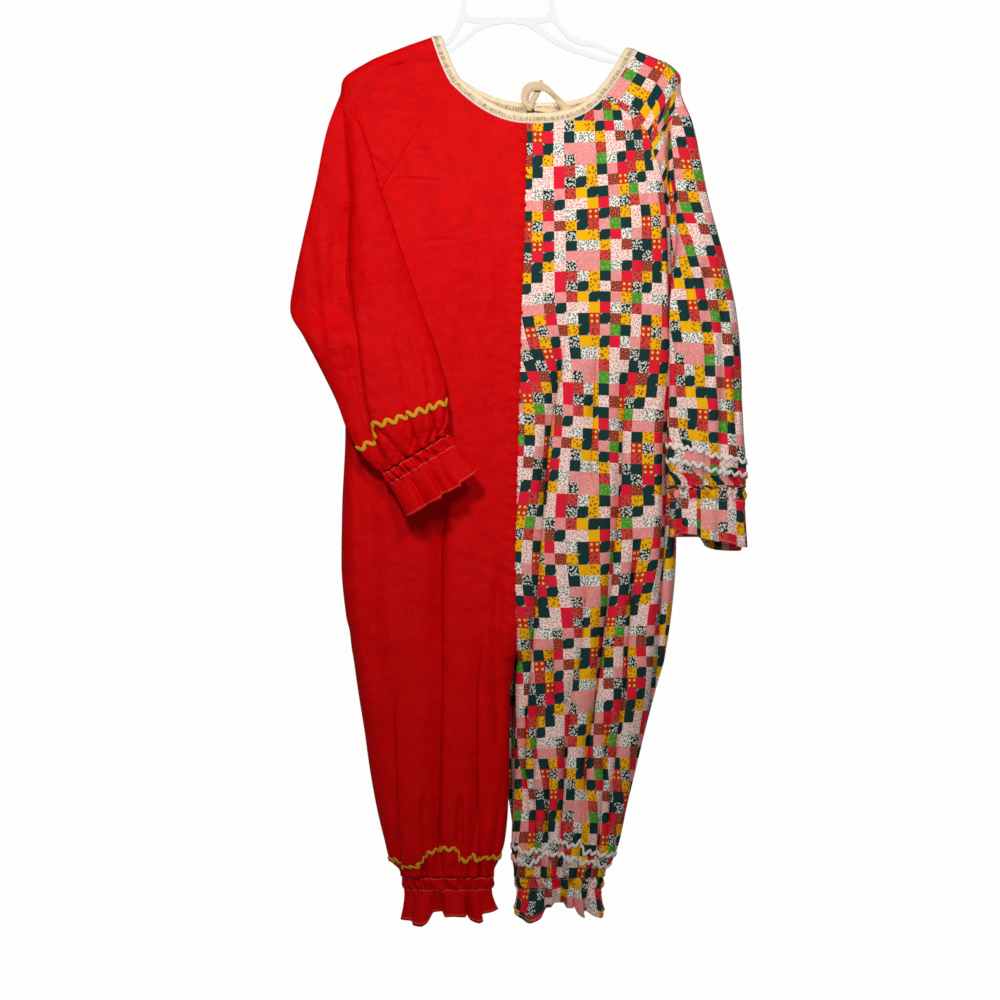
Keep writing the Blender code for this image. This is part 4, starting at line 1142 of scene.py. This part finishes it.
def tube_row(half, number):
    """A sleeve row below the shoulder point."""
    here = dict(zip(SLEEVE_NAMES, SLEEVE_ROWS[half][number - SHOULDER_ROWS]))
    edge = np.array((here["edge_x"], here["edge_drop"]))
    outer = np.array((here["outer_x"], here["outer_drop"]))
    front_start, front_end = front_columns(half)
    flat = FLAT_BACK[half] if number > LAST_TURN_ROW else 0.0
    row = []
    for column, angle in enumerate(sleeve_angles(half)):
        share = (1 + math.cos(angle)) / 2
        rise = math.sin(angle)
        x, drop = blend(outer, edge, share)
        lying = max(under_layer(x, drop, half) + EDGE_LIFT[half] * share, flat)
        if front_start <= column <= front_end:
            lying += FOLD_TURN + here["hollow"] * max(0.0, rise)
        oval = OVAL_BACK[half] + here["hollow"] * (1 + rise)
        row.append(spot(x, -blend(lying, oval, here["oval"]), drop))
    return row


# %% Sleeve rows near the underarm, then the whole cage
def turned_row(half, number):
    """A row near the underarm: the body's layer, the fold, and the tube lying over it."""
    here = dict(zip(TURN_NAMES, TURNS[half][number - SHOULDER_ROWS]))
    on_seam = here["seam_x"] is None
    seam = np.array(RAGLAN[half][number] if on_seam else (here["seam_x"], here["seam_drop"]), float)
    seam_depth = float(half_depth(*seam, half)) if on_seam else here["seam_depth"]
    back_depth = seam_depth if on_seam else -seam_depth
    valley = np.array((here["valley_x"], here["valley_drop"]), float)
    ease = SEAM_EASE[half] if on_seam else 1.0
    to_valley, _, to_edge = STRETCHES[half][:3]
    row = []
    for step in range(to_valley + 1):
        share = step / to_valley
        x, drop = blend(seam, valley, share)
        row.append(spot(x, -blend(seam_depth, here["valley_depth"], share ** ease), drop))
    tube = tube_row(half, number)
    front_start, front_end = front_columns(half)
    folded = tube[front_start - 1]
    turned = spot(valley[0], -(here["valley_depth"] + LAP), valley[1])
    row.append(turned)
    for step in range(1, to_edge):
        place = blend(turned, folded, step / to_edge)
        place[1] = min(-under_layer(place[0], place[2], half), place[1])
        row.append(place)
    row += tube[front_start - 1:front_end + 2]
    start = row[-1]
    along_back = STRETCHES[half][-1]
    for step in range(1, along_back + 1):
        share = step / along_back
        x, drop = blend(start[[0, 2]], seam, share)
        row.append(spot(x, blend(start[1], back_depth, float(rounded(share))), drop))
    return row


def sleeve_cage(half):
    """All rows of a sleeve, from the neck to the wrist."""
    last = SHOULDER_ROWS + len(SLEEVE_ROWS[half])
    rows = [shoulder_row(half, number) for number in range(SHOULDER_ROWS)]
    rows += [turned_row(half, number) for number in range(SHOULDER_ROWS, LAST_TURN_ROW + 1)]
    rows += [tube_row(half, number) for number in range(LAST_TURN_ROW + 1, last)]
    return np.array(rows)


# %% A smooth surface through the cage
def curve_through(points, places):
    """Points on a smooth curve through each column of a grid, at fractional row places."""
    runs = np.diff(points, axis=0)
    chords = np.maximum(np.linalg.norm(runs, axis=-1, keepdims=True), 1e-3)
    slopes = runs / chords
    before, after = chords[:-1], chords[1:]
    inner = (slopes[:-1] * after + slopes[1:] * before) / (before + after)
    tangents = np.concatenate((slopes[:1], inner, slopes[-1:]))
    first = np.clip(places.astype(int), 0, len(points) - 2)
    share = (places - first).reshape(-1, *([1] * (points.ndim - 1)))
    chord = chords[first]
    leaving = tangents[first] * chord * (share ** 3 - 2 * share ** 2 + share)
    arriving = tangents[first + 1] * chord * (share ** 3 - share ** 2)
    return blend(points[first], points[first + 1], eased(share)) + leaving + arriving


def even_places(points, count):
    """Fractional row places that lie about evenly over the mean length of a grid's columns."""
    steps = np.linalg.norm(np.diff(points, axis=0), axis=-1).reshape(len(points) - 1, -1).mean(axis=1)
    total = np.concatenate(([0.0], np.cumsum(steps)))
    return np.interp(np.linspace(0, total[-1], count), total, np.arange(len(points)))


# %% Sleeve cloth
SLEEVE_LONG = 170       # rows and columns of the dense cloth
SLEEVE_ROUND = 150
GATHER_ROW = 12.6       # the casing's gathers start about this row of the cage
SLEEVE_GATHER = 5.2
SLEEVE_PITCH = {"red": 15.0, "patch": 11.0}
FRONT_FADE = 1 / 1.2    # the front's creases begin over this share of a column of the cage
SEAM_TUCK = (1.8, 0.2, 0.4)     # the edges are tucked in below the panels: across, depth, up
PLACE_START = (260, 40)         # keeps all places on the cloth above 0


def sleeve_cloth(half):
    """The dense cloth of a sleeve, its place on the flat cloth, and its rows counted in the cage's."""
    cage = sleeve_cage(half)
    rows = even_places(cage, SLEEVE_LONG)
    rows[np.abs(rows - UNDERARM_ROW).argmin()] = UNDERARM_ROW
    columns = even_places(cage.transpose(1, 0, 2), SLEEVE_ROUND)
    cloth = curve_through(cage, rows)
    cloth = curve_through(cloth.transpose(1, 0, 2), columns).transpose(1, 0, 2)

    first, last = front_columns(half)
    start = first - 0.5
    end = last + 0.5
    on_front = ramp(columns, start, start + FRONT_FADE) * ramp(columns, end, end - FRONT_FADE)
    pushed, slide = creases(cloth[..., 0], cloth[..., 2], CREASES[half, "sleeve"])
    cloth[..., 0] += slide * on_front
    gather = SLEEVE_GATHER * ramp(rows, GATHER_ROW, len(cage) - 1)[:, None]
    folds = gathers(lengths_along(cloth, 1), SLEEVE_PITCH[half], 2.0)
    cloth[..., 1] += pushed * on_front - gather * folds
    on_seam = rows < UNDERARM_ROW - 0.2
    for column in (0, -1):
        facing = np.sign(cloth[on_seam, column, 1])
        cloth[on_seam, column, 0] -= HALVES[half] * SEAM_TUCK[0]
        cloth[on_seam, column, 1] -= facing * SEAM_TUCK[1]
        cloth[on_seam, column, 2] -= SEAM_TUCK[2]

    across = lengths_along(cloth, 1)
    middle = across[:, [np.abs(columns - (end - 0.3)).argmin()]]
    in_front = (columns > start) & (columns < end)
    down = lengths_along(cloth, 0)[:, in_front].mean(axis=1, keepdims=True)
    place = flat_places(across - middle, down) + PLACE_START
    return cloth, place, rows


# %% Lay the sleeves
SLEEVE_CREASES = {"red": 1.2, "patch": 1.0}
sleeves = {}
sleeve_rows = {}
for half in HALVES:
    cloth, place, rows = sleeve_cloth(half)
    material = MAKE[half](SLOT[half] + "_sleeve", SLEEVE_CREASES[half])
    name = "sleeve_" + half + "_cloth"
    closed_row = int(np.argmax(rows >= UNDERARM_ROW))
    piece = lay(name, cloth, place, material, half == "patch", closed_row)
    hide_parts("sleeve_" + half)
    "front_" + half
    sleeves[half] = cloth
    sleeve_rows[half] = rows
    wrist = float(np.ptp(place[-1, :, 0]))
    print(name, "long", round(float(np.ptp(place[..., 1]))), "mm, round the wrist", round(wrist), "mm")

# %% [markdown]
# ## Cuffs
# At each wrist and ankle the cloth passes through a casing with elastic and ends in a ruffle. The
# ruffle is the same cloth let free again, so its waves grow from the gathers above it and no two
# are alike. Rings of points with growing waves make it, and rows of stitches mark the casing.

# %% Cuff tables, millimetres
# Each row: along the limb, half width, half depth and how far forward. The front of each ruffle was
# charted: place across (-1 to 1), how much longer the hem is there, and how far it stands out.
# A last table, where there is one, does the same for the length of the back.
CUFFS = {
    "cuff_red": dict(
        top=(-120.65, 720.0), direction=(0.515, 0.857), depth=50.0, waves=9,
        rows=((0.3, 50, 16, 0), (17, 50, 16, 1), (40, 51, 16, 6), (65, 54, 17, 13)),
        front=((-1, 0, -2), (-0.8, 1, 3), (-0.55, 1, 4), (-0.47, 1, -6), (-0.4, 1, -3), (0, 2, 6),
               (0.05, -1, -4), (0.26, 1, 3), (0.31, 1, -3), (0.52, 2, 4), (0.57, -1, -4), (0.8, -2, -1),
               (0.86, -2, 2), (1, -3, 4))),
    "cuff_patch": dict(
        top=(256.5, 764.0), direction=(0.0, 1.0), depth=30.0, waves=8,
        rows=((0.3, 49, 15, 0), (19, 48, 15, 0), (48, 47, 16, 2), (70, 47, 17, 5)),
        front=((-1, -6, 4), (-0.85, -6, 5), (-0.77, -7, -5), (-0.7, -10, 0), (-0.5, -10, 4),
               (-0.3, -9, 2), (-0.25, -6, -6), (-0.2, -5, 3), (0.1, -2, 5), (0.3, 0, 1), (0.5, 2, 4),
               (0.8, 6, 2), (1, 7, 6)),
        back=((-1, -6), (-0.25, -6), (-0.05, 6), (0.3, 11), (0.8, 12), (1, 7))),
    "ankle_red": dict(
        top=(-79.5, 1269.0), direction=(0.0, 1.0), depth=0.0, waves=9,
        rows=((0.3, 60, 26, 0), (20, 56, 25, 0), (36, 57, 24, 0), (53, 60, 25, 0)),
        front=((-1, 3, 3), (-0.8, 4, 0), (-0.66, 9, 7), (-0.5, 10, 9), (-0.4, 5, 5), (-0.34, -7, -6),
               (-0.15, -8, -9), (-0.05, -2, 3), (0.1, -3, 7), (0.35, -2, 5), (0.42, -4, -2),
               (0.47, -4, -9), (0.52, 3, -3), (0.6, 6, 8), (0.7, 4, 6), (0.77, -4, -2), (0.92, -7, 2),
               (1, -10, 8))),
    "ankle_patch": dict(
        top=(65.0, 1269.0), direction=(0.0, 1.0), depth=0.0, waves=10,
        rows=((0.3, 58.5, 26, 0), (20, 54, 25, 0), (35, 54, 24, 0), (50, 56, 24, 0)),
        front=((-1, -8, 5), (-0.92, -1, 6), (-0.78, 4, 6), (-0.6, 9, 9), (-0.4, 3, 4), (-0.33, -10, -5),
               (-0.2, -11, -2), (-0.12, -16, -8), (0, -17, -5), (0.12, -16, -9), (0.19, -10, -2),
               (0.3, -10, 1), (0.38, -11, -6), (0.45, -2, -1), (0.52, 2, 7), (0.6, -3, -3),
               (0.66, -6, -5), (0.77, 1, 4), (0.9, 3, 6), (1, -6, 4))),
}
CUFF_ROUND = 288        # columns and rows of a cuff
CUFF_DOWN = 34
CASING_ROWS = (2.0, 17.0)       # the two rows of stitches that hold the elastic
CASING_WIDE = 9.0
CASING_WANDER = 1.3     # how far the casing's rows wander up and down
HEM_UP = 3.0            # the hem's stitches, above its edge
BACK_SHORTER = 2.0      # where there is no table for the back
STITCH_PULL = 1.2       # how deep a row of stitches pulls the cloth in, and how wide
STITCH_PULL_WIDE = 1.8
SQUEEZE = 3.0           # depth of the elastic's small gathers
SQUEEZES = 43           # how many of them there are round the limb
BACK_FOLD = 6.0         # depth of the folds at the back
FRONT_FOLD = 1.6        # how much deeper the front's folds are than charted


def cuff_grid(cut, top, direction, depth, waves, rows, front, back=None):
    """Rings along a limb. Below the casing the ruffle's folds grow, and its hem goes up and down."""
    rows = np.array(rows, float)
    along = np.linspace(rows[0, 0], rows[-1, 0], CUFF_DOWN)[:, None]
    wide, deep, forward = (smooth(along, rows[:, 0], rows[:, column]) for column in (1, 2, 3))
    angle = np.linspace(0, 2 * math.pi, CUFF_ROUND + 1)[None, :]
    bend = angle + 0.10 * np.sin(2 * angle + 1) + 0.06 * np.sin(5 * angle)
    place = np.cos(angle)
    in_front = ramp(np.sin(angle), -1 / 3, 1 / 3)
    stations, longer, stands = np.array(front, float).T
    hem = smooth(place, stations, longer)
    behind = hem - BACK_SHORTER if back is None else smooth(place, *np.array(back, float).T)
    in_back = BACK_FOLD * np.sin(waves * bend)
    folds = blend(in_back, FRONT_FOLD * smooth(place, stations, stands), in_front)

    free = ramp(along, CASING_ROWS[1], along[-1, 0])
    casing = hump(along - sum(CASING_ROWS) / 2, CASING_WIDE)
    squeeze = np.sin(SQUEEZES * bend + 2 * np.sin(3 * bend) + along / 7)
    squeeze += np.sin(SQUEEZES / 2.6 * bend + along / 4 + 1)
    pulled = sum(hump(along - row, STITCH_PULL_WIDE) for row in CASING_ROWS)
    out = folds * free ** 0.7 + SQUEEZE * casing * squeeze - STITCH_PULL * pulled
    across = (wide + 0.6 * out) * place
    through = (deep + out) * np.sin(angle)
    run = along + blend(behind, hem, in_front) * free ** 1.3
    run = run + CASING_WANDER * casing * np.sin(SQUEEZES / 1.9 * bend + along / 9)
    x = top[0] + run * direction[0] + across * direction[1]
    drop = top[1] + run * direction[1] - across * direction[0]
    points = np.stack((x, -depth - forward - through, drop), axis=-1)
    lengths = lengths_along(points, 1)
    shares = (lengths / lengths[:, -1:]).mean(axis=0)
    return points, flat_places(shares * cut / MM + 120, along)


# %% Lay the cuffs
CUFF_CUT = {"cuff_red": (0.36, 0.066), "cuff_patch": (0.30, 0.076),
            "ankle_red": (0.38, 0.056), "ankle_patch": (0.36, 0.053)}
for name, sizes in CUFFS.items():
    limb, half = name.split("_")
    points, place = cuff_grid(CUFF_CUT[name][0], **sizes)
    length = sizes["rows"][-1][0]
    material = MAKE[half](name + "_cotton", 0.7, (*CASING_ROWS, length - HEM_UP))
    piece = lay(name + "_cloth", points, place, material, closed_from=0)
    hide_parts(name)
    above = ("sleeve_" if limb == "cuff" else "front_") + half + "_cloth"
    print(name, "round", round(float(lengths_along(points, 1)[:, -1].max())), "mm")

# %% [markdown]
# ## Rickrack
# Rickrack is a flat braid woven to zigzag. It lies on the cloth along a line, and its points are
# soft, so a sine gives its path and a low crown its thickness. The path is worked out on the cloth's
# own grid, so the braid follows each fold that it is sewn over.


# %% Braid finish
RIB_PITCH = 1.3         # spacing of the woven ribs, millimetres
RIB_HEIGHT = 0.0002     # metres


def braid_finish(name, colour, painted_shade_colour):
    finish = Finish(name, colour, 0.6, 0.05)
    finish.set("Specular IOR Level", 0.12)
    along, down, flat = finish.cloth_place()
    ribs = (along * (2 * math.pi / RIB_PITCH) + down * (math.pi / RIB_PITCH)).sine()
    # Painted shade: the braid is mixed toward its darker colour in the hollows between its ribs, the low
    # parts of the same relief.
    finish.set("Base Color", finish.mix(ribs.between(-1.0, 0.4), painted_shade_colour, colour))
    finish.set("Normal", finish.bump(ribs, RIB_HEIGHT, 0.6))
    finish.set("Roughness", ribs.between(-1.0, 1.0) * 0.15 + 0.55)
    return finish.material


# The second colour of each braid is its painted shade between the ribs.
OCHRE = braid_finish("ochre_braid_woven", (0.84, 0.43, 0.018), (0.60, 0.27, 0.012))
WHITE = braid_finish("white_braid_woven", (0.95, 0.92, 0.89), (0.78, 0.74, 0.72))
BRAID_LOOK = {"red": (OCHRE, "ochre_braid"), "patch": (WHITE, "white_braid")}

# %% Braid on a grid of cloth
BRAID_SIZES = {         # length of a zigzag, its swing to each side, width of the tape
    "braid_sleeve_red": (16.0, 3.2, 4.8),
    "braid_leg_red": (12.5, 2.3, 3.6),
    "braid_sleeve_patch": (12.0, 2.5, 3.7),
    "braid_leg_patch": (12.0, 2.5, 3.5),
}
BRAID_LIFT = 0.35
BRAID_THICK = 0.0011
BRAID_STEP = 1.1
BRAID_SECTION = ((-0.5, 0.0), (-0.25, 0.35), (0.0, 0.5), (0.25, 0.35), (0.5, 0.0))      # across, crown
SWING_CHANGE = 0.12     # how much the swing changes from zigzag to zigzag
NEARBY = 0.7            # rows and columns to either side, to find which way the cloth faces


def grid_spot(points, rows, columns):
    """Points on a grid at fractional rows and columns."""
    row = np.clip(rows.astype(int), 0, points.shape[0] - 2)
    column = np.clip(columns.astype(int), 0, points.shape[1] - 2)
    v = (rows - row)[:, None]
    u = (columns - column)[:, None]
    top = blend(points[row, column], points[row, column + 1], u)
    bottom = blend(points[row + 1, column], points[row + 1, column + 1], u)
    return blend(top, bottom, v)


def outward(points, rows, columns, core):
    """Directions that point out of the cloth, away from the middle of the piece."""
    before = np.clip(columns - NEARBY, 0, points.shape[1] - 1)
    after = np.clip(columns + NEARBY, 0, points.shape[1] - 1)
    ahead = grid_spot(points, rows, after) - grid_spot(points, rows, before)
    down = grid_spot(points, rows + NEARBY, columns) - grid_spot(points, rows - NEARBY, columns)
    normal = unit(np.cross(ahead, down))
    place = grid_spot(points, rows, columns)
    return normal * np.sign((normal * (place - core(place))).sum(axis=1))[:, None]


def braid_grid(points, row_at, core, sizes, start=0.0):
    """A zigzag braid over cloth. row_at gives its middle row for each column, core the piece's middle."""
    period, swing, tape = sizes
    columns = np.linspace(0, points.shape[1] - 1, 4 * points.shape[1])
    run = lengths_along(grid_spot(points, row_at(columns), columns), 0)
    even = np.linspace(0, run[-1], int(run[-1] / BRAID_STEP))
    columns = np.interp(even, run, columns)
    centre = row_at(columns)
    phase = 2 * math.pi * (even + start) / period
    below = grid_spot(points, centre + 1, columns) - grid_spot(points, centre, columns)
    spacing = np.linalg.norm(below, axis=1)
    column_run = np.gradient(even, columns).clip(0.5)
    lean = np.arctan(2 * math.pi / period * swing * np.cos(phase))
    swing = swing * np.sin(phase) * (1 + SWING_CHANGE * np.sin(phase / 3.3))
    grid = []
    for share, crown in BRAID_SECTION:
        out = share * tape
        beside = np.clip(columns - np.sin(lean) * out / column_run, 0, points.shape[1] - 1)
        rows = centre + (swing + np.cos(lean) * out) / spacing
        up = outward(points, rows, beside, core)
        grid.append(grid_spot(points, rows, beside) + up * (BRAID_LIFT + crown))
    grid = np.array(grid)
    facing = np.cross(grid[2, 1:] - grid[2, :-1], grid[4, :-1] - grid[2, :-1])
    flip = float((facing * up[:-1]).sum()) >= 0
    place = flat_places(even, np.linspace(0, tape, len(grid))[:, None])
    return grid, place, flip


# %% Sew the braids on the sleeves
def sew_braid(node, half, grid, place, flip):
    """Lays a braid in its half's colour, in place of the model's node of that name."""
    material, slot = BRAID_LOOK[half]
    piece = lay(node + "_tape", grid, place, material, flip, thick=BRAID_THICK, outside=True)
    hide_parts(node)
    print(node, "long", round(float(place[..., 0].max())), "mm")


SLEEVE_BRAIDS = (("braid_sleeve_red", "red", 13.5), ("braid_sleeve_patch_upper", "patch", 13.55),
                 ("braid_sleeve_patch_lower", "patch", 14.45))
# How many rows of cloth further down each braid runs, at places across. It breaks at a pleat.
SLEEVE_BRAID_SHIFT = {
    "red": ((-176, -172, -80), (1.0, -3.0, 0.0)),
    "patch": ((205, 252, 254, 305), (-0.5, -0.2, 1.0, 1.6)),
}
for name, half, row in SLEEVE_BRAIDS:
    points = sleeves[half]
    dense_row = float(np.interp(row, sleeve_rows[half], np.arange(SLEEVE_LONG)))
    tube_middle = points[int(dense_row)].mean(axis=0)
    around = points[int(dense_row), :, 0]

    def row_at(columns):
        x = np.interp(columns, np.arange(len(around)), around)
        return dense_row + np.interp(x, *SLEEVE_BRAID_SHIFT[half])

    sizes = BRAID_SIZES["braid_sleeve_" + half]
    sew_braid(name, half, *braid_grid(points, row_at, lambda at: tube_middle, sizes))

# %% Sew the braids on the legs
LEG_BRAIDS = {
    "braid_leg_red": ("red", (
        (-155, 1247), (-144, 1256), (-122, 1250), (-104, 1236), (-84, 1231), (-66, 1233),
        (-61, 1246), (-50, 1246), (-44, 1239), (-38, 1247), (-28, 1246), (-13, 1243))),
    "braid_leg_patch_upper": ("patch", (
        (3, 1229), (12, 1232), (23, 1238), (32, 1234), (44, 1235), (61, 1220),
        (73, 1224), (84, 1229), (94, 1222), (101, 1236), (112, 1236), (130, 1240))),
    "braid_leg_patch_lower": ("patch", (
        (3, 1243), (14, 1249), (23, 1254), (31, 1250), (44, 1241), (58, 1236),
        (72, 1241), (86, 1247), (95, 1243), (102, 1251), (114, 1248), (130, 1254))),
}
LEG_BRAID_ROWS = 61     # the panels' lowest rows, which the braids cross
LEG_BRAID_ROW = -20     # the row whose columns give the places across
BRAID_START = {"front": 0.0, "back": 5.0}
for name, (half, line) in LEG_BRAIDS.items():
    line_x, line_drop = np.array(line, float).T
    for face in ("front", "back"):
        points = panels[half, face]
        lowest = np.arange(len(points) - LEG_BRAID_ROWS, len(points))
        level = points[lowest, 0, 2]
        around = points[LEG_BRAID_ROW, :, 0]

        def row_at(columns):
            x = np.interp(columns, np.arange(len(around)), around)
            return np.interp(np.interp(x, line_x, line_drop), level, lowest)

        sizes = BRAID_SIZES["braid_leg_" + half]
        laid = braid_grid(points, row_at, lambda at: at * (1, 0, 1), sizes, BRAID_START[face])
        sew_braid(f"{name}_{face}", half, *laid)

# %% [markdown]
# ## Neck binding
# A strip of cream cotton is folded over the raw neck edge and stitched down. It was cut straight and
# bent round a curve, so its lower edge puckers. The strip is a flattened ring in section, swept
# round the neck edge of the panels and sleeves.


# %% Binding finish
HEM_WHITE = (0.95, 0.92, 0.86)


def cream_cotton(name, light, painted_shade_colour, puckers=1.0):
    """Cream cotton with puckers, which are strongest along the strip's lower edge. Their colour is darkened
    by painted shade drawn from the puckers' noise, most over the lower half.
    """
    finish = Finish(name, light, 0.6, 0.2)
    along, down, _ = finish.cloth_place()
    folds = finish.noise(finish.place(along * 0.5, down * 0.12), 0.8)
    edge = down.between(11.6, 12.0)
    low = down.between(4.5, 7.0) * down.between(11.8, 11.0)
    # Painted shade: the colour is mixed toward the dark one in a pattern from the puckers' own noise, which
    # also sets their relief, most over the lower half. The lower half is also darker overall.
    shade = folds.between(0.38, 0.68) * (low * 0.7 + 0.12) + low * 0.25
    cream = finish.mix(shade, light, painted_shade_colour)
    finish.set("Base Color", finish.mix(edge, cream, HEM_WHITE))
    finish.set("Roughness", folds.between(0.2, 0.8) * 0.15 + 0.5)
    weave_over(finish, along, down, finish.bump(folds, 0.0016 * puckers, 0.9))
    return finish.material


# %% The binding's shape
BINDING_WIDTH = 13.6
BINDING_LIFT = 1.125    # how far the strip's faces stand off the cloth's edge
BINDING_DOWN = 0.3      # its lower edge, below the cloth's edge
BINDING_LEAN = 0.04     # how much its upper edge leans inward
BINDING_STEP = 1.6
PUCKER_PITCH = 6.5
PUCKER_DEPTH = 0.45
NECK_CENTRE = np.array((35.0, 0.0, 165.0))
# Round the strip's section: share of its width from the lower edge, and share of its lift.
BINDING_SECTION = ((0.0, 0.0), (0.04, 0.9), (0.18, 1.15), (0.4, 1.0), (0.65, 1.1), (0.88, 0.95),
                   (1.0, 0.25), (0.95, -0.8), (0.6, -0.9), (0.2, -0.8), (0.0, 0.0))


def neck_edge():
    """The cloth's edge round the neck, from the centre back over the red half and round again."""
    line = np.concatenate((
        panels["red", "back"][0], sleeves["red"][0][::-1], panels["red", "front"][0][::-1],
        panels["patch", "front"][0], sleeves["patch"][0], panels["patch", "back"][0][::-1]))
    gaps = np.linalg.norm(np.diff(line, axis=0), axis=1)
    line = np.concatenate((line[:1], line[1:][gaps > 0.5]))
    run = lengths_along(line, 0)
    even = np.linspace(0, run[-1], int(run[-1] / BINDING_STEP))
    return np.stack([np.interp(even, run, line[:, axis]) for axis in range(3)], axis=1), even


def binding_grid():
    """The strip's section swept round the neck, and each point's place on the flat strip."""
    edge, run = neck_edge()
    inward = NECK_CENTRE - edge
    inward[:, 1] = 0
    inward = unit(inward)
    ahead = np.roll(edge, -1, axis=0) - np.roll(edge, 1, axis=0)
    out = unit(np.cross(ahead, inward))
    out *= np.sign(out[:, 1:2] * edge[:, 1:2] + 1e-9)
    pucker = PUCKER_DEPTH * ripples(run, PUCKER_PITCH, 1.0)
    rows = []
    places = []
    for share, face in BINDING_SECTION:
        low = (1 - share) ** 0.7 if share > 0 else 0.0
        lift = face * BINDING_LIFT + pucker * low
        row = edge + inward * (share * BINDING_WIDTH - BINDING_DOWN) + out * lift[:, None]
        row[:, 1] -= edge[:, 1] * BINDING_LEAN * share
        rows.append(row)
        places.append(flat_places(run, (1 - share) * BINDING_WIDTH))
    return np.array(rows), np.array(places)


# %% Lay the binding
points, place = binding_grid()
# The second colour is the painted shade of the binding's puckers.
cream_binding = cream_cotton("cream_binding_cotton", (0.90, 0.74, 0.50), (0.38, 0.25, 0.12))
binding = lay("neck_binding_cloth", points, place, cream_binding, thick=0.0004)
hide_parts("neck_binding")
print("binding round", round(float(place[..., 0].max())), "mm")

# %% [markdown]
# ## The tie
# The same cream strip, folded to a narrow ribbon, is tied at the back of the neck in one long loop
# with a short end. A ribbon bends easily one way and hardly the other, so its middle line carries a
# turn as well as a place, and the loop is a single run of ribbon from the knot back to the knot.

# %% Ribbon paths: across, depth, drop, turn in degrees, and width
TIE_PATHS = {
    "tie_loop": (
        (23.6, 4.5, 268, 20, 5), (20.5, 4.4, 257, 15, 11), (23, 4.6, 247.5, 15, 12.5),
        (30, 4.6, 242, 10, 12.5), (38, 4.6, 241.5, 10, 12), (46, 4.4, 243.5, 15, 10),
        (54, 4.0, 249, 25, 8), (61, 3.4, 256, 30, 8), (67, 2.8, 263, 20, 9.5), (72, 2.2, 269, 20, 11),
        (71, 1.6, 273.5, 75, 10), (65, 1.6, 275, 75, 9), (56, 2.4, 273.5, 30, 9),
        (46, 3.2, 272, 20, 9), (33, 4.6, 271, 20, 7)),
    "tie_end": (
        (26, 8.4, 268, 20, 6), (31, 9.4, 259, 15, 8.5), (36, 9.8, 250, 15, 8.5),
        (40.5, 10.2, 241, 20, 6), (42, 10.4, 233, 20, 4.5)),
}
RIBBON_SHARES = np.linspace(-0.5, 0.5, 9)[:, None]
RIBBON_STEPS = 12       # rows to each point of a path
RIBBON_CUP = 0.5        # how far the ribbon's edges curl up
RIBBON_WAVE = 0.25


def ribbon_grid(path):
    """A curled ribbon along a path, and each point's place on the flat ribbon."""
    path = np.array(path, float)
    line = curve_through(path, np.linspace(0, len(path) - 1, RIBBON_STEPS * len(path)))
    middle = line[:, :3]
    turn = np.radians(line[:, 3:4])
    width = line[:, 4:5]
    ahead = np.gradient(middle, axis=0)
    level = unit(ahead[:, [2, 1, 0]] * (-1, 0, 1))
    across = level * np.cos(turn) + np.sin(turn) * (0, 1, 0)
    normal = unit(np.cross(ahead, across))
    run = lengths_along(middle, 0)
    cup = RIBBON_CUP * (2 * RIBBON_SHARES) ** 2 + RIBBON_WAVE * np.sin(run / 4.1 + RIBBON_SHARES * 3)
    grid = middle + across * width * RIBBON_SHARES[:, None] + normal * cup[..., None]
    return grid, flat_places(run, RIBBON_SHARES * width.max() + 4)


# %% Lay the ribbons
# The second colour is the ribbon's painted shade.
ribbon_cotton = cream_cotton("cream_ribbon_cotton", (0.80, 0.63, 0.39), (0.48, 0.33, 0.17), 0.4)
for name, path in TIE_PATHS.items():
    grid, place = ribbon_grid(path)
    piece = lay(name + "_ribbon", grid, place, ribbon_cotton, thick=0.0008)
    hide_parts(name)
    print(name, "long", round(float(place[..., 0].max())), "mm")

# %% The knot
KNOT_CENTRE = Vector((27.0, 6.6, -269.0))
KNOT_RADII = Vector((5.4, 4.6, 5.4))
ball = bmesh.new()
bmesh.ops.create_uvsphere(ball, u_segments=40, v_segments=26, radius=1.0)
for vertex in ball.verts:
    x, y, z = vertex.co
    wrap = 1 + 0.07 * math.sin(5 * z + 2.2 * x) + 0.05 * math.sin(9 * x + 3 * y)
    vertex.co = (KNOT_CENTRE + vertex.co * KNOT_RADII * wrap) * MM
mesh = bpy.data.meshes.new("tie_knot_ribbon")
layer = ball.loops.layers.uv.new("cloth")
for face in ball.faces:
    for loop in face.loops:
        x, y, z = loop.vert.co
        loop[layer].uv = (x + z * 0.4, z - y + 0.27)
ball.to_mesh(mesh)
ball.free()
knot = ride("tie_knot_ribbon", mesh, ribbon_cotton)
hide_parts("tie_knot")
print("knot", [round(2 * radius, 1) for radius in KNOT_RADII], "mm")

# %% [markdown]
# ## The hanger
# The hanger is moulded in clear plastic. Its shape is right in the model already, so it keeps its
# mesh and only gets a better finish: see-through, with a sharp gloss and a faint waviness from the
# mould.

# %% Clear plastic
clear = Finish("clear_plastic_moulded", (0.93, 0.95, 0.96), 0.06)
clear.set("IOR", 1.33)
clear.set("Specular IOR Level", 0.6)
clear.set("Transmission Weight", 1.0)
place = clear.node("ShaderNodeTexCoord", None, None, 3)
clear.set("Normal", clear.bump(clear.noise(place, 60.0, 2.0), 0.0006, 0.15))
clear.set("Roughness", clear.noise(place, 25.0, 2.0) * 0.02)
for name in ("hanger_frame", "hanger_hook"):
    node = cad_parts[name]
    for number in range(len(node.material_slots)):
        node.material_slots[number].material = clear.material

# %% The floor's finish
paper = Finish("pale_floor", (0.90, 0.90, 0.89), 0.9)
place = paper.node("ShaderNodeTexCoord", None, None, 3)
paper.set("Roughness", paper.noise(place, 3.0) * 0.1 + 0.85)
floor.data.materials.append(paper.material)
